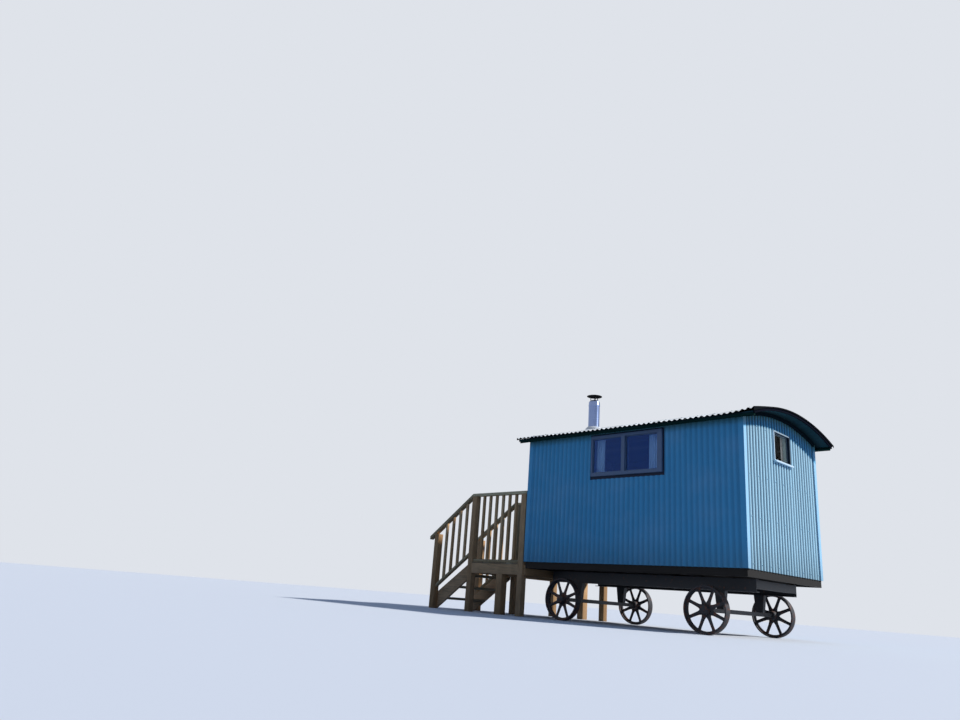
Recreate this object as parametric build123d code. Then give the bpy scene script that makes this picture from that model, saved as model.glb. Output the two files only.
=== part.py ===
from build123d import *
import math
import os

# Shepherd's hut on four cast wheels, with a timber landing and stair at its door end.
# Lengths are in millimetres. X runs along the hut, from the stair to the window end, Y runs
# across it and Z is up from the ground. While the pieces are made, X = 0 is the outer face of the
# door end's cladding. They are saved with X = 0 and Y = 0 at the middle of the whole outline.

# Body
body_length = 3420.0
body_width = 2080.0
cladding_bottom = 760.0
floor_drop = 30.0
floor_board = 20.0
floor_frame_depth = 100.0
wall_thickness = 70.0

# Corrugated sheet of the walls and roof
flute_pitch = 76.2
flute_depth = 18.0
sheet_thickness = 2.5
sheet_wave = ((1 / 2, 1), (1, 0))
roof_wave = ((1 / 2, 0), (1, 1))
corner_leg = 70.0
corner_sheet = 3.0

# Roof, an arc across the hut
eave_height = 2556.0
roof_rise = 213.0
roof_run_count = 7
eave_overhang = 140.0
door_end_overhang = 155.0
window_end_overhang = 208.0
sheet_drip = 12.0
eave_setback = 30.0
roof_board = 20.0
ceiling_thickness = 60.0
fascia_depth = 30.0
fascia_thickness = 18.0
trim_depth = 48.0
trim_thickness = 20.0
batten_width = 42.0
batten_depth = 35.0

# Window of the long side, measured from the door end and from the ground
side_window_start = 1170.0
side_window_width = 1136.0
side_window_bottom = 1925.0
side_window_height = 565.0
side_left_stile = 25.0
side_right_stile = 69.0
side_mullion = 54.0
side_mullion_start = 506.0
side_head = 40.0
side_sill = 45.0
sash_width = 10.0
sash_depth = 30.0
left_sash_recess = 10.0
right_sash_recess = 20.0
frame_proud = 15.0
cladding_gap = 20.0
cladding_gap_below = 40.0
glass_thickness = 6.0

# Window of the end wall, centred across the hut
end_window_width = 470.0
end_window_bottom = 2135.0
end_window_height = 390.0
end_frame_width = 17.0
end_frame_proud = 4.0
end_sill_horn = 16.0
end_sill_height = 18.0
end_sill_reach = 34.0
end_sill_lap = 4.0

# Curtains and their rods
curtain_fold = 38.0
curtain_depth = 30.0
curtain_cloth = 6.0
curtain_seat = 0.3
curtain_wave = ((1 / 8, 0), (3 / 8, 1), (5 / 8, 1), (7 / 8, 0), (1, 0))
rod_diameter = 16.0
rod_offset = 24.0
rod_bracket = 20.0
side_rod_height = 2514.0
end_rod_height = 2552.0
side_curtain_bottom = 1850.0
end_curtain_bottom = 2080.0
left_curtain_folds = 6
right_curtain_folds = 9
end_curtain_folds = 3
side_curtain_overreach = 78.0
end_curtain_overreach = 90.0
rod_past_curtain = 40.0

# Stable door
door_opening_width = 800.0
door_opening_top = 2545.0
door_frame_width = 40.0
door_frame_proud = 5.0
threshold_height = 30.0
door_thickness = 44.0
door_recess = 12.0
lower_leaf_height = 950.0
leaf_gap = 0.5

# Flue
flue_from_door_end = 886.0
flue_from_middle = 640.0
flue_diameter = 165.0
flue_bore = 115.0
flue_top = 3108.0
flue_inside_drop = 60.0
flue_clearance = 0.3
cowl_height = 46.0
cowl_neck = 78.0
cowl_wall = 2.5
strap_rise = 60.0
strap_width = 18.0
strap_thickness = 4.0
strap_count = 3
cap_diameter = 226.0
cap_dish = 14.0
cap_sheet = 3.0
boot_diameter = 250.0
boot_height = 14.0
boot_plate = 330.0
boot_sheet = 3.0

# Running gear
chassis_offset = 550.0
channel_depth = 150.0
channel_flange = 75.0
channel_web = 8.0
chassis_inset = 150.0
cross_member_count = 4
cross_member_width = 60.0
cross_member_depth = 100.0
axle_inset = 620.0
axle_bar = 50.0
bolster_length = 140.0
bolster_width = 70.0
bolster_foot = 90.0
wheel_diameter = 560.0
tyre_width = 100.0
tyre_thickness = 18.0
hub_diameter = 132.0
hub_length = 160.0
spoke_count = 8
spoke_root = 58.0
spoke_tip = 38.0
spoke_thickness = 22.0
spoke_bite = 6.0
wheel_centre_offset = 880.0

# Floor frame
joist_width = 45.0
joist_joint = 0.2
floor_joist_count = 9

# Landing and stair
landing_length = 1180.0
deck_below_cladding = 16.0
deck_board = 28.0
landing_joist_depth = 145.0
landing_joist_count = 4
ledger_thickness = 45.0
post_size = 95.0
support_size = 118.0
support_from_wall = 485.0
handrail_height = 1046.0
handrail_width = 82.0
handrail_thickness = 45.0
bottom_rail_width = 60.0
bottom_rail_height = 35.0
baluster_size = 38.0
baluster_pitch = 145.0
riser_count = 4
tread_going = 270.0
tread_thickness = 38.0
tread_overlap = 20.0
string_thickness = 40.0
string_above_nosing = 40.0
string_below_nosing = 215.0
newel_from_landing = 787.0
rail_end_reach = 130.0
stair_rail_lift = 95.0

# Heights and faces that follow from the sizes above
half_width = body_width / 2
frame_half = half_width - flute_depth
frame_start = flute_depth
frame_end = body_length - flute_depth
room_half = frame_half - wall_thickness
room_start = frame_start + wall_thickness
room_end = frame_end - wall_thickness
floor_top = cladding_bottom + floor_drop
frame_top = floor_top - floor_board
frame_bottom = frame_top - floor_frame_depth
deck_top = cladding_bottom - deck_below_cladding
deck_bottom = deck_top - deck_board
landing_joist_bottom = deck_bottom - landing_joist_depth

# Roof radii about one line along the hut, from the crest of the sheet inwards
sheet_half_span = half_width + eave_overhang
crest_radius = (sheet_half_span ** 2 + roof_rise ** 2) / (2 * roof_rise)
board_radius = crest_radius - flute_depth
under_radius = board_radius - roof_board
ceiling_radius = under_radius - ceiling_thickness
roof_centre_z = eave_height + roof_rise - crest_radius
sheet_half_angle = math.asin(sheet_half_span / crest_radius)
run_angle = 2 * sheet_half_angle / roof_run_count
board_half_angle = sheet_half_angle - eave_setback / crest_radius
fascia_start = -(door_end_overhang - sheet_drip)
fascia_end = body_length + window_end_overhang - sheet_drip

# Stair line: nosings fall from the landing's edge by one riser in each going
riser = deck_top / riser_count
stair_fall = riser / tread_going
stair_angle = math.atan(stair_fall)
handrail_top = deck_top + handrail_height
post_centre = half_width - post_size / 2
newel_x = -(landing_length + newel_from_landing)
rail_end_x = newel_x - post_size / 2 - rail_end_reach
ledger_face = frame_start - ledger_thickness
wall_post_x = ledger_face - post_size / 2
edge_post_x = -landing_length + post_size / 2

# Middle of the whole outline, from the end of the stair's handrail to the roof's window end
outline_middle = (rail_end_x + body_length + window_end_overhang) / 2


def save(name, shape):
    """Write one node, moved so that the outline's middle is the origin."""
    export_step(Pos(-outline_middle, 0, 0) * shape, f"parts/{name}.step")


def block(x0, x1, y0, y1, z0, z1):
    """Box between two corners."""
    middle = Pos((x0 + x1) / 2, (y0 + y1) / 2, (z0 + z1) / 2)
    return middle * Box(abs(x1 - x0), abs(y1 - y0), abs(z1 - z0))


def joined(shapes):
    """All shapes as one, fused where they touch and apart where they don't."""
    return Part() + list(shapes)


def both_sides(shape):
    """A shape and its mirror image across the hut's middle."""
    return joined([shape, mirror(shape, Plane.XZ)])


def prism_y(points, y0, y1):
    """Outline in X and Z, carried from y0 to y1."""
    outline = make_face(Polyline(*[(x, y0, z) for x, z in points], close=True))
    return extrude(outline, amount=y1 - y0, dir=(0, 1, 0))


def roof_point(radius, angle):
    """Point in Y and Z at an angle from the top of the roof's arc."""
    return (radius * math.sin(angle), roof_centre_z + radius * math.cos(angle))


def arc_band(inner, outer, start, end, x0, x1):
    """Curved board between two radii and two angles of the roof, from x0 to x1."""
    middle = (start + end) / 2
    top = ThreePointArc(*[roof_point(outer, a) for a in (start, middle, end)])
    bottom = ThreePointArc(*[roof_point(inner, a) for a in (end, middle, start)])
    edges = [top, Line(top @ 1, bottom @ 0), bottom, Line(bottom @ 1, top @ 0)]
    return extrude(Plane.YZ.offset(x0) * make_face(edges), amount=x1 - x0)


def roof_cylinder(radius):
    """Round bar along the whole hut at one of the roof's radii."""
    reach = body_length + 2 * (door_end_overhang + window_end_overhang)
    return Pos(body_length / 2, 0, roof_centre_z) * Rot(0, 90, 0) * Cylinder(radius, reach)


def under_runs(radius):
    """Bar along the whole hut, under straight runs inside one of the roof's radii."""
    angles = [run_angle * (index - roof_run_count / 2) for index in range(roof_run_count + 1)]
    arc = [roof_point(radius, angle) for angle in angles]
    ends = [(arc[-1][0], 0), (arc[0][0], 0)]
    outline = make_face(Polyline(*[(0, y, z) for y, z in arc + ends], close=True))
    reach = door_end_overhang + window_end_overhang
    return extrude(outline, amount=body_length + 2 * reach, dir=(1, 0, 0)).moved(Pos(-reach, 0, 0))


def flute_points(length, pitch, depth, thickness, wave):
    """Section of a folded sheet, whose wave gives the share of a pitch and of the depth at each
    fold. It starts at the level on which the wave ends."""
    count = max(1, round(length / pitch))
    step = length / count
    lower = [(0, wave[-1][1] * (depth - thickness))]
    for index in range(count):
        lower += [(step * (index + share), level * (depth - thickness)) for share, level in wave]
    return lower + [(u, v + thickness) for u, v in reversed(lower)]


# Roof and its boards
def fluted_roof():
    """Corrugated sheet over the arc, in straight runs whose middles rest on the boards. It starts
    and ends on a crest."""
    length = body_length + door_end_overhang + window_end_overhang
    section = flute_points(length, flute_pitch, flute_depth, sheet_thickness, roof_wave)
    base = board_radius / math.cos(run_angle / 2)
    sections = []
    for index in range(roof_run_count + 1):
        angle = run_angle * (index - roof_run_count / 2)
        points = [(u - door_end_overhang, *roof_point(base + v, angle)) for u, v in section]
        sections.append(make_face(Polyline(*points, close=True)))
    return loft(sections, ruled=True)


def flue_hole(clearance):
    """Round bar where the flue passes through the roof."""
    height = flue_top - floor_top
    place = Pos(flue_from_door_end, -flue_from_middle, floor_top + height / 2)
    return place * Cylinder(flue_diameter / 2 + clearance, height)


def roof_nodes():
    hole = flue_hole(flue_clearance)
    angle = board_half_angle
    save("roof_sheet", fluted_roof() - hole)
    board_start = fascia_start + fascia_thickness
    board_end = fascia_end - fascia_thickness
    boards = arc_band(under_radius, board_radius, -angle, angle, board_start, board_end)
    save("roof_boards", boards - hole)
    ceiling = arc_band(ceiling_radius, under_radius, -angle, angle, room_start, room_end)
    inside = block(room_start, room_end, -room_half, room_half, floor_top, flue_top)
    save("ceiling_vault", (ceiling & inside) - hole)

    inner = board_radius - fascia_depth
    fascias = [
        arc_band(inner, board_radius, -angle, angle, fascia_start, board_start),
        arc_band(inner, board_radius, -angle, angle, board_end, fascia_end),
    ]
    save("end_fascias", joined(fascias))

    inner = under_radius - batten_depth
    batten = arc_band(inner, under_radius, angle - batten_width / under_radius, angle,
                      board_start, board_end)
    save("eave_battens", both_sides(batten))

    inner = under_radius - trim_depth
    reach = half_width + corner_sheet - corner_leg
    between = block(-trim_thickness, body_length + trim_thickness, -reach, reach, floor_top, flue_top)
    trims = [
        arc_band(inner, under_radius, -angle, angle, -trim_thickness, 0),
        arc_band(inner, under_radius, -angle, angle, body_length, body_length + trim_thickness),
    ]
    save("end_wall_trims", joined(trims) & between)


# Walls
def side_window_hole(margin, below):
    """Box through the long side where its window sits, with a margin around and one below."""
    return block(side_window_start - margin, side_window_start + side_window_width + margin,
                 -half_width - flute_depth, -room_half,
                 side_window_bottom - below, side_window_bottom + side_window_height + margin)


def end_window_hole():
    """Box through the window end where its window sits."""
    half = end_window_width / 2
    return block(room_end, body_length + flute_depth, -half, half,
                 end_window_bottom, end_window_bottom + end_window_height)


def door_hole():
    """Box through the door end where the door's frame sits."""
    half = door_opening_width / 2
    return block(-flute_depth, room_start, -half, half, cladding_bottom - floor_drop, door_opening_top)


def cladding_side(x0, x1):
    """Fluted sheet of a long side, with its crests on the near face of the hut."""
    section = flute_points(x1 - x0, flute_pitch, flute_depth, sheet_thickness, sheet_wave)
    points = [(x0 + u, -frame_half - v, cladding_bottom) for u, v in section]
    face = make_face(Polyline(*points, close=True))
    return extrude(face, amount=flue_top - cladding_bottom, dir=(0, 0, 1))


def cladding_end(x, outward):
    """Fluted sheet of an end, standing out from x in the outward direction."""
    section = flute_points(2 * frame_half, flute_pitch, flute_depth, sheet_thickness, sheet_wave)
    points = [(x + outward * v, u - frame_half, cladding_bottom) for u, v in section]
    face = make_face(Polyline(*points, close=True))
    return extrude(face, amount=flue_top - cladding_bottom, dir=(0, 0, 1))


def wall_nodes():
    under = roof_cylinder(under_radius)
    side = block(frame_start, frame_end, -frame_half, -room_half, frame_top, flue_top) & under
    save("window_side_panel", side - side_window_hole(0, 0))
    save("plain_side_panel", mirror(side, Plane.XZ))
    near_end = block(frame_start, room_start, -room_half, room_half, frame_top, flue_top) & under
    save("door_end_panel", near_end - door_hole())
    far_end = block(room_end, frame_end, -room_half, room_half, frame_top, flue_top) & under
    save("window_end_panel", far_end - end_window_hole())

    below = under_runs(under_radius)
    side_sheet = cladding_side(frame_start, frame_end) & below
    save("window_side_cladding", side_sheet - side_window_hole(cladding_gap, cladding_gap_below))
    save("plain_side_cladding", mirror(side_sheet, Plane.XZ))
    save("door_end_cladding", (cladding_end(frame_start, -1) & below) - door_hole())
    save("window_end_cladding", (cladding_end(frame_end, 1) & below) - end_window_hole())

    outer_x = -corner_sheet
    outer_y = -half_width - corner_sheet
    angle = joined([
        block(outer_x, outer_x + corner_leg, outer_y, -half_width, cladding_bottom, flue_top),
        block(outer_x, 0, outer_y, outer_y + corner_leg, cladding_bottom, flue_top),
    ])
    middle = Plane.YZ.offset(body_length / 2)
    near_pair = joined([angle, mirror(angle, middle)])
    save("corner_flashings", both_sides(near_pair) & below)


# Floor and running gear
def floor_nodes():
    inner = frame_half - joist_width
    timbers = [both_sides(block(frame_start, frame_end, inner, frame_half, frame_bottom, frame_top))]
    reach = inner - joist_joint
    step = (frame_end - frame_start - joist_width) / (floor_joist_count - 1)
    for index in range(floor_joist_count):
        x = frame_start + index * step
        timbers.append(block(x, x + joist_width, -reach, reach, frame_bottom, frame_top))
    save("floor_frame", joined(timbers))
    save("floor_boards", block(room_start, room_end, -room_half, room_half, frame_top, floor_top))


def chassis_nodes():
    top = frame_bottom
    bottom = top - channel_depth
    x0 = chassis_inset
    x1 = body_length - chassis_inset
    web = block(x0, x1, chassis_offset - channel_web, chassis_offset, bottom, top)
    reach = chassis_offset - channel_flange
    flanges = [
        block(x0, x1, reach, chassis_offset, top - channel_web, top),
        block(x0, x1, reach, chassis_offset, bottom, bottom + channel_web),
    ]
    save("chassis_beams", both_sides(joined([web] + flanges)))
    members = []
    step = (x1 - x0 - cross_member_width) / (cross_member_count - 1)
    level = top - channel_web
    for index in range(cross_member_count):
        x = x0 + index * step
        members.append(block(x, x + cross_member_width, -chassis_offset + channel_web,
                             chassis_offset - channel_web, level - cross_member_depth, level))
    save("cross_members", joined(members))
    return bottom


def cast_wheel():
    """Spoked wheel about the Y axis: flat tyre, hub and tapered spokes."""
    radius = wheel_diameter / 2
    inner = radius - tyre_thickness
    tyre = Cylinder(radius, tyre_width) - Cylinder(inner, tyre_width)
    rings = [Rot(90, 0, 0) * ring for ring in (tyre, Cylinder(hub_diameter / 2, hub_length))]
    start = hub_diameter / 2 - spoke_bite
    end = inner + spoke_bite
    outline = [(-spoke_root / 2, start), (spoke_root / 2, start),
               (spoke_tip / 2, end), (-spoke_tip / 2, end)]
    spoke = prism_y(outline, -spoke_thickness / 2, spoke_thickness / 2)
    spokes = [spoke.rotate(Axis.Y, 360 / spoke_count * (index + 0.5)) for index in range(spoke_count)]
    return joined(rings + spokes)


def axle_nodes(chassis_bottom):
    radius = wheel_diameter / 2
    shoulder = wheel_centre_offset - hub_length / 2
    wheel = cast_wheel()
    axles = []
    bolsters = []
    for end, x in (("door_end", axle_inset), ("window_end", body_length - axle_inset)):
        axles.append(block(x - axle_bar / 2, x + axle_bar / 2, -shoulder, shoulder,
                           radius - axle_bar / 2, radius + axle_bar / 2))
        foot = bolster_foot / 2
        head = bolster_length / 2
        outline = [(x - foot, radius + axle_bar / 2), (x + foot, radius + axle_bar / 2),
                   (x + head, chassis_bottom), (x - head, chassis_bottom)]
        outer = chassis_offset
        bolsters.append(both_sides(prism_y(outline, outer - bolster_width, outer)))
        for side, y in (("near", -wheel_centre_offset), ("far", wheel_centre_offset)):
            save(f"{end}_{side}_wheel", Pos(x, y, radius) * wheel)
    save("axles", joined(axles))
    save("axle_bolsters", joined(bolsters))


# Windows, curtains and door
def side_window_nodes():
    x0 = side_window_start
    x1 = x0 + side_window_width
    z0 = side_window_bottom
    z1 = z0 + side_window_height
    front = -half_width - frame_proud
    lights = [
        (x0 + side_left_stile, x0 + side_mullion_start),
        (x0 + side_mullion_start + side_mullion, x1 - side_right_stile),
    ]
    low = z0 + side_sill
    high = z1 - side_head
    frame = block(x0, x1, front, -room_half, z0, z1)
    sashes = []
    panes = []
    for (left, right), recess in zip(lights, (left_sash_recess, right_sash_recess)):
        frame -= block(left, right, front, -room_half, low, high)
        face = front + recess
        inner = (left + sash_width, right - sash_width)
        levels = (low + sash_width, high - sash_width)
        ring = block(left, right, face, face + sash_depth, low, high)
        sashes.append(ring - block(*inner, face, face + sash_depth, *levels))
        middle = face + sash_depth / 2
        panes.append(block(*inner, middle - glass_thickness / 2, middle + glass_thickness / 2, *levels))
    save("side_window_frame", frame)
    save("side_window_sashes", joined(sashes))
    save("side_window_glass", joined(panes))


def end_window_nodes():
    half = end_window_width / 2
    z0 = end_window_bottom
    z1 = z0 + end_window_height
    front = body_length + end_frame_proud
    frame = block(room_end, front, -half, half, z0, z1)
    inner = half - end_frame_width
    levels = (z0 + end_frame_width, z1 - end_frame_width)
    frame -= block(room_end, front, -inner, inner, *levels)
    middle = (room_end + front) / 2
    save("end_window_glass", block(middle - glass_thickness / 2, middle + glass_thickness / 2,
                                   -inner, inner, *levels))
    reach = half + end_sill_horn
    sill = block(body_length, body_length + end_sill_reach, -reach, reach, z0 - end_sill_height,
                 z0 + end_sill_lap)
    save("end_window_frame", joined([frame, sill]))


def curtain_outline(folds):
    """Section of a hanging curtain, folded to and fro."""
    points = flute_points(folds * curtain_fold, curtain_fold, curtain_depth, curtain_cloth, curtain_wave)
    return [(u, v - curtain_depth / 2) for u, v in points]


def curtain_nodes():
    rod_y = -room_half + rod_offset
    x0 = side_window_start - side_curtain_overreach
    x1 = side_window_start + side_window_width + side_curtain_overreach
    seat = rod_diameter / 2 + curtain_seat
    curtains = []
    for start, folds in ((x0, left_curtain_folds), (x1 - right_curtain_folds * curtain_fold,
                                                    right_curtain_folds)):
        points = [(start + u, rod_y + v, side_curtain_bottom) for u, v in curtain_outline(folds)]
        face = make_face(Polyline(*points, close=True))
        curtains.append(extrude(face, amount=side_rod_height - seat - side_curtain_bottom,
                                dir=(0, 0, 1)))
    save("side_curtains", joined(curtains))

    rod_x = room_end - rod_offset
    half = end_window_width / 2 + end_curtain_overreach
    start = half - end_curtain_folds * curtain_fold
    points = [(rod_x + v, start + u, end_curtain_bottom) for u, v in curtain_outline(end_curtain_folds)]
    face = make_face(Polyline(*points, close=True))
    curtain = extrude(face, amount=end_rod_height - seat - end_curtain_bottom, dir=(0, 0, 1))
    save("end_curtains", both_sides(curtain))

    side_rod = Pos((x0 + x1) / 2, rod_y, side_rod_height) * Rot(0, 90, 0)
    side_rod *= Cylinder(rod_diameter / 2, x1 - x0 + 2 * rod_past_curtain)
    end_rod = Pos(rod_x, 0, end_rod_height) * Rot(90, 0, 0)
    end_rod *= Cylinder(rod_diameter / 2, 2 * half + 2 * rod_past_curtain)
    half_bracket = rod_bracket / 2
    past = rod_past_curtain - half_bracket
    pieces = [side_rod, end_rod]
    for x in (x0 - past, x1 + past):
        pieces.append(block(x - half_bracket, x + half_bracket, -room_half, rod_y,
                            side_rod_height - half_bracket, side_rod_height + half_bracket))
    for y in (-half - past, half + past):
        pieces.append(block(rod_x, room_end, y - half_bracket, y + half_bracket,
                            end_rod_height - half_bracket, end_rod_height + half_bracket))
    save("curtain_rods", joined(pieces))


def door_nodes():
    half = door_opening_width / 2
    inner = half - door_frame_width
    sill = frame_top + threshold_height
    head = door_opening_top - door_frame_width
    frame = block(-door_frame_proud, room_start, -half, half, frame_top, door_opening_top)
    save("door_frame", frame - block(-door_frame_proud, room_start, -inner, inner, sill, head))
    edge = inner - leaf_gap
    split = sill + leaf_gap + lower_leaf_height
    back = door_recess + door_thickness
    save("stable_door", joined([
        block(door_recess, back, -edge, edge, sill + leaf_gap, split),
        block(door_recess, back, -edge, edge, split + leaf_gap, head - leaf_gap),
    ]))


# Flue
def flue_nodes():
    place = Pos(flue_from_door_end, -flue_from_middle, 0)
    outer = flue_diameter / 2
    bore = flue_bore / 2
    slope_z = roof_centre_z + math.sqrt(ceiling_radius ** 2 - (flue_from_middle + outer) ** 2)
    bottom = slope_z - flue_inside_drop
    neck = cowl_neck / 2
    shoulder = flue_top
    crown = flue_top + cowl_height
    section = Polyline((bore, bottom), (outer, bottom), (outer, shoulder), (neck, crown),
                       (neck - cowl_wall, crown), (bore, shoulder - cowl_wall), close=True)
    save("flue_pipe", place * revolve(Plane.XZ * make_face(section), Axis.Z))

    rim = crown + strap_rise
    cap_radius = cap_diameter / 2
    cap_section = Polyline((0, rim), (cap_radius, rim), (cap_radius, rim + cap_sheet),
                           (0, rim + cap_dish), close=True)
    cap = revolve(Plane.XZ * make_face(cap_section), Axis.Z)
    strap_outer = (neck + outer) / 2
    strap_inner = strap_outer - strap_thickness
    cowl_slope = cowl_height / (outer - neck)
    outline = [(strap_inner, shoulder + (outer - strap_inner) * cowl_slope),
               (strap_outer, shoulder + (outer - strap_outer) * cowl_slope),
               (strap_outer, rim), (strap_inner, rim)]
    strap = prism_y(outline, -strap_width / 2, strap_width / 2)
    straps = [strap.rotate(Axis.Z, 360 / strap_count * index) for index in range(strap_count)]
    save("flue_cap", place * joined([cap] + straps))

    run = math.floor(math.asin(flue_from_middle / crest_radius) / run_angle + 1 / 2) * run_angle
    seat = board_radius + flute_depth * math.cos(run_angle / 2)
    tangent = Pos(flue_from_door_end, 0, roof_centre_z) * Rot(math.degrees(run), 0, 0)
    along = (flue_from_middle - seat * math.sin(run)) / math.cos(run)
    plate = tangent * Pos(0, -along, seat + boot_sheet / 2) * Box(boot_plate, boot_plate, boot_sheet)
    below = tangent * Pos(0, 0, seat / 2) * Box(2 * boot_plate, 2 * seat, seat)
    foot = roof_centre_z + seat * math.cos(run) - along * math.sin(run)
    cone = place * Pos(0, 0, foot) * Cone(boot_diameter / 2, outer + boot_sheet, 2 * boot_height)
    save("flue_boot", joined([plate, cone - below]) - flue_hole(flue_clearance))


# Landing and stair
def post(x, y, size, top):
    """Square post standing on the ground."""
    return block(x - size / 2, x + size / 2, y - size / 2, y + size / 2, 0, top)


def stair_line(x):
    """Height of the nosing line at x, which falls from the landing's edge."""
    return deck_top + (x + landing_length) * stair_fall


def balusters(start, end, bottom, top, place):
    """Square bars between two ends, evenly spaced near the named pitch."""
    count = max(1, round(abs(end - start) / baluster_pitch) - 1)
    step = (end - start) / (count + 1)
    bars = []
    for index in range(count):
        middle = start + step * (index + 1)
        bars.append(place(middle, bottom, top))
    return bars


def level_panel(x0, x1, y, rail_start, rail_end):
    """Level balustrade along X: handrail, bottom rail and balusters."""
    rail_bottom = handrail_top - handrail_thickness
    foot_top = deck_top + bottom_rail_height
    half = baluster_size / 2

    def bar(x, bottom, top):
        return block(x - half, x + half, y - half, y + half, bottom, top)

    rail_half = handrail_width / 2
    foot_half = bottom_rail_width / 2
    pieces = balusters(x0, x1, foot_top, rail_bottom, bar)
    pieces.append(block(rail_start, rail_end, y - rail_half, y + rail_half, rail_bottom, handrail_top))
    pieces.append(block(x0, x1, y - foot_half, y + foot_half, deck_top, foot_top))
    return joined(pieces)


def end_panel(y0, y1):
    """Level balustrade across the landing's edge, between two post faces."""
    rail_bottom = handrail_top - handrail_thickness
    foot_top = deck_top + bottom_rail_height
    half = baluster_size / 2

    def bar(y, bottom, top):
        return block(edge_post_x - half, edge_post_x + half, y - half, y + half, bottom, top)

    rail_half = handrail_width / 2
    foot_half = bottom_rail_width / 2
    pieces = balusters(y0, y1, foot_top, rail_bottom, bar)
    pieces.append(block(edge_post_x - rail_half, edge_post_x + rail_half, y0 - post_size / 2,
                        y1, rail_bottom, handrail_top))
    pieces.append(block(edge_post_x - foot_half, edge_post_x + foot_half, y0, y1, deck_top, foot_top))
    return joined(pieces)


def stair_panel(y):
    """Sloping balustrade beside the stair, from the landing's post past the bottom newel."""
    rise = handrail_height
    thick = handrail_thickness / math.cos(stair_angle)
    foot = bottom_rail_height / math.cos(stair_angle)
    head_x = -landing_length
    low_x = newel_x + post_size / 2
    half = baluster_size / 2
    rail_half = handrail_width / 2
    foot_half = bottom_rail_width / 2

    def under(x):
        return stair_line(x) + rise - thick

    def over(x):
        return stair_line(x) + stair_rail_lift + foot

    def bar(x, bottom, top):
        outline = [(x - half, over(x - half)), (x + half, over(x + half)),
                   (x + half, under(x + half)), (x - half, under(x - half))]
        return prism_y(outline, y - half, y + half)

    top_rail = [(rail_end_x, under(rail_end_x)), (head_x, under(head_x)),
                (head_x, under(head_x) + thick), (rail_end_x, under(rail_end_x) + thick)]
    low_rail = [(low_x, over(low_x) - foot), (head_x, over(head_x) - foot),
                (head_x, over(head_x)), (low_x, over(low_x))]
    pieces = balusters(low_x, head_x, 0, 0, bar)
    pieces.append(prism_y(top_rail, y - rail_half, y + rail_half))
    pieces.append(prism_y(low_rail, y - foot_half, y + foot_half))
    return joined(pieces)


def landing_nodes():
    rail_bottom = handrail_top - handrail_thickness
    wall_y = [-post_centre, post_centre]
    edge_y = [-post_centre, 0, post_centre]
    posts = joined([post(wall_post_x, y, post_size, rail_bottom) for y in wall_y]
                   + [post(edge_post_x, y, post_size, rail_bottom) for y in edge_y])
    support = post(-support_from_wall, half_width - support_size / 2, support_size,
                   landing_joist_bottom)
    save("landing_posts", joined([posts, both_sides(support)]))

    wall_face = wall_post_x - post_size / 2
    edge_face = edge_post_x + post_size / 2
    rim = block(edge_face, wall_face, half_width - joist_width, half_width,
                landing_joist_bottom, deck_bottom)
    edge_rim = block(-landing_length, -landing_length + joist_width, post_size / 2,
                     half_width - post_size, landing_joist_bottom, deck_bottom)
    ledger = block(ledger_face, frame_start, -frame_half, frame_half, landing_joist_bottom, deck_bottom)
    step = 2 * (half_width - post_size) / (landing_joist_count + 1)
    timbers = [ledger, both_sides(rim), both_sides(edge_rim)]
    start = -landing_length + joist_width + joist_joint
    for index in range(landing_joist_count):
        y = -half_width + post_size + step * (index + 1)
        timbers.append(block(start, ledger_face - joist_joint, y - joist_width / 2, y + joist_width / 2,
                             landing_joist_bottom, deck_bottom))
    save("landing_joists", joined(timbers))
    deck = block(-landing_length, 0, -half_width, half_width, deck_bottom, deck_top)
    save("landing_deck", deck - posts)

    panel = level_panel(edge_face, wall_face, post_centre, -landing_length, wall_post_x + post_size / 2)
    save("near_balustrade", mirror(panel, Plane.XZ))
    save("far_balustrade", panel)
    save("edge_balustrade", end_panel(post_size / 2, half_width - post_size))


def stair_nodes():
    top = stair_line(newel_x) + handrail_height - handrail_thickness / math.cos(stair_angle)
    slope = post_size / 2 * stair_fall
    half = post_size / 2
    outline = [(newel_x - half, 0), (newel_x + half, 0), (newel_x + half, top + slope),
               (newel_x - half, top - slope)]
    newels = [prism_y(outline, y - half, y + half) for y in (-post_centre, 0)]
    save("stair_newels", joined(newels))
    save("near_stair_balustrade", stair_panel(-post_centre))
    save("inner_stair_balustrade", stair_panel(0))

    head = -landing_length
    foot_front = head - (deck_top + string_above_nosing) / stair_fall
    foot_back = head - (deck_top - string_below_nosing) / stair_fall
    nose = newel_x - half
    outline = [(foot_back, 0), (nose, 0), (nose, stair_line(nose) + string_above_nosing),
               (head, deck_top + string_above_nosing - deck_board),
               (head, deck_top - string_below_nosing)]
    if foot_front > nose:
        outline = [(foot_back, 0), (foot_front, 0)] + outline[3:]
    near_y = -post_centre + half
    inner_y = -half
    strings = [prism_y(outline, near_y, near_y + string_thickness),
               prism_y(outline, inner_y - string_thickness, inner_y)]
    save("stair_strings", joined(strings))
    treads = []
    for index in range(1, riser_count):
        nosing = head - tread_going * index
        level = deck_top - riser * index
        treads.append(block(nosing, nosing + tread_going + tread_overlap, near_y + string_thickness,
                            inner_y - string_thickness, level - tread_thickness, level))
    save("stair_treads", joined(treads))


os.makedirs("parts", exist_ok=True)
roof_nodes()
wall_nodes()
floor_nodes()
axle_nodes(chassis_nodes())
side_window_nodes()
end_window_nodes()
curtain_nodes()
door_nodes()
flue_nodes()
landing_nodes()
stair_nodes()
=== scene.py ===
"""Dresses the frame of a shepherd's hut: lapped corrugated sheets, windows and curtains, flue, cast
wheels, timber landing and stair, with their finishes, and sets the stage and the camera."""

import math
from functools import cached_property

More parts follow.
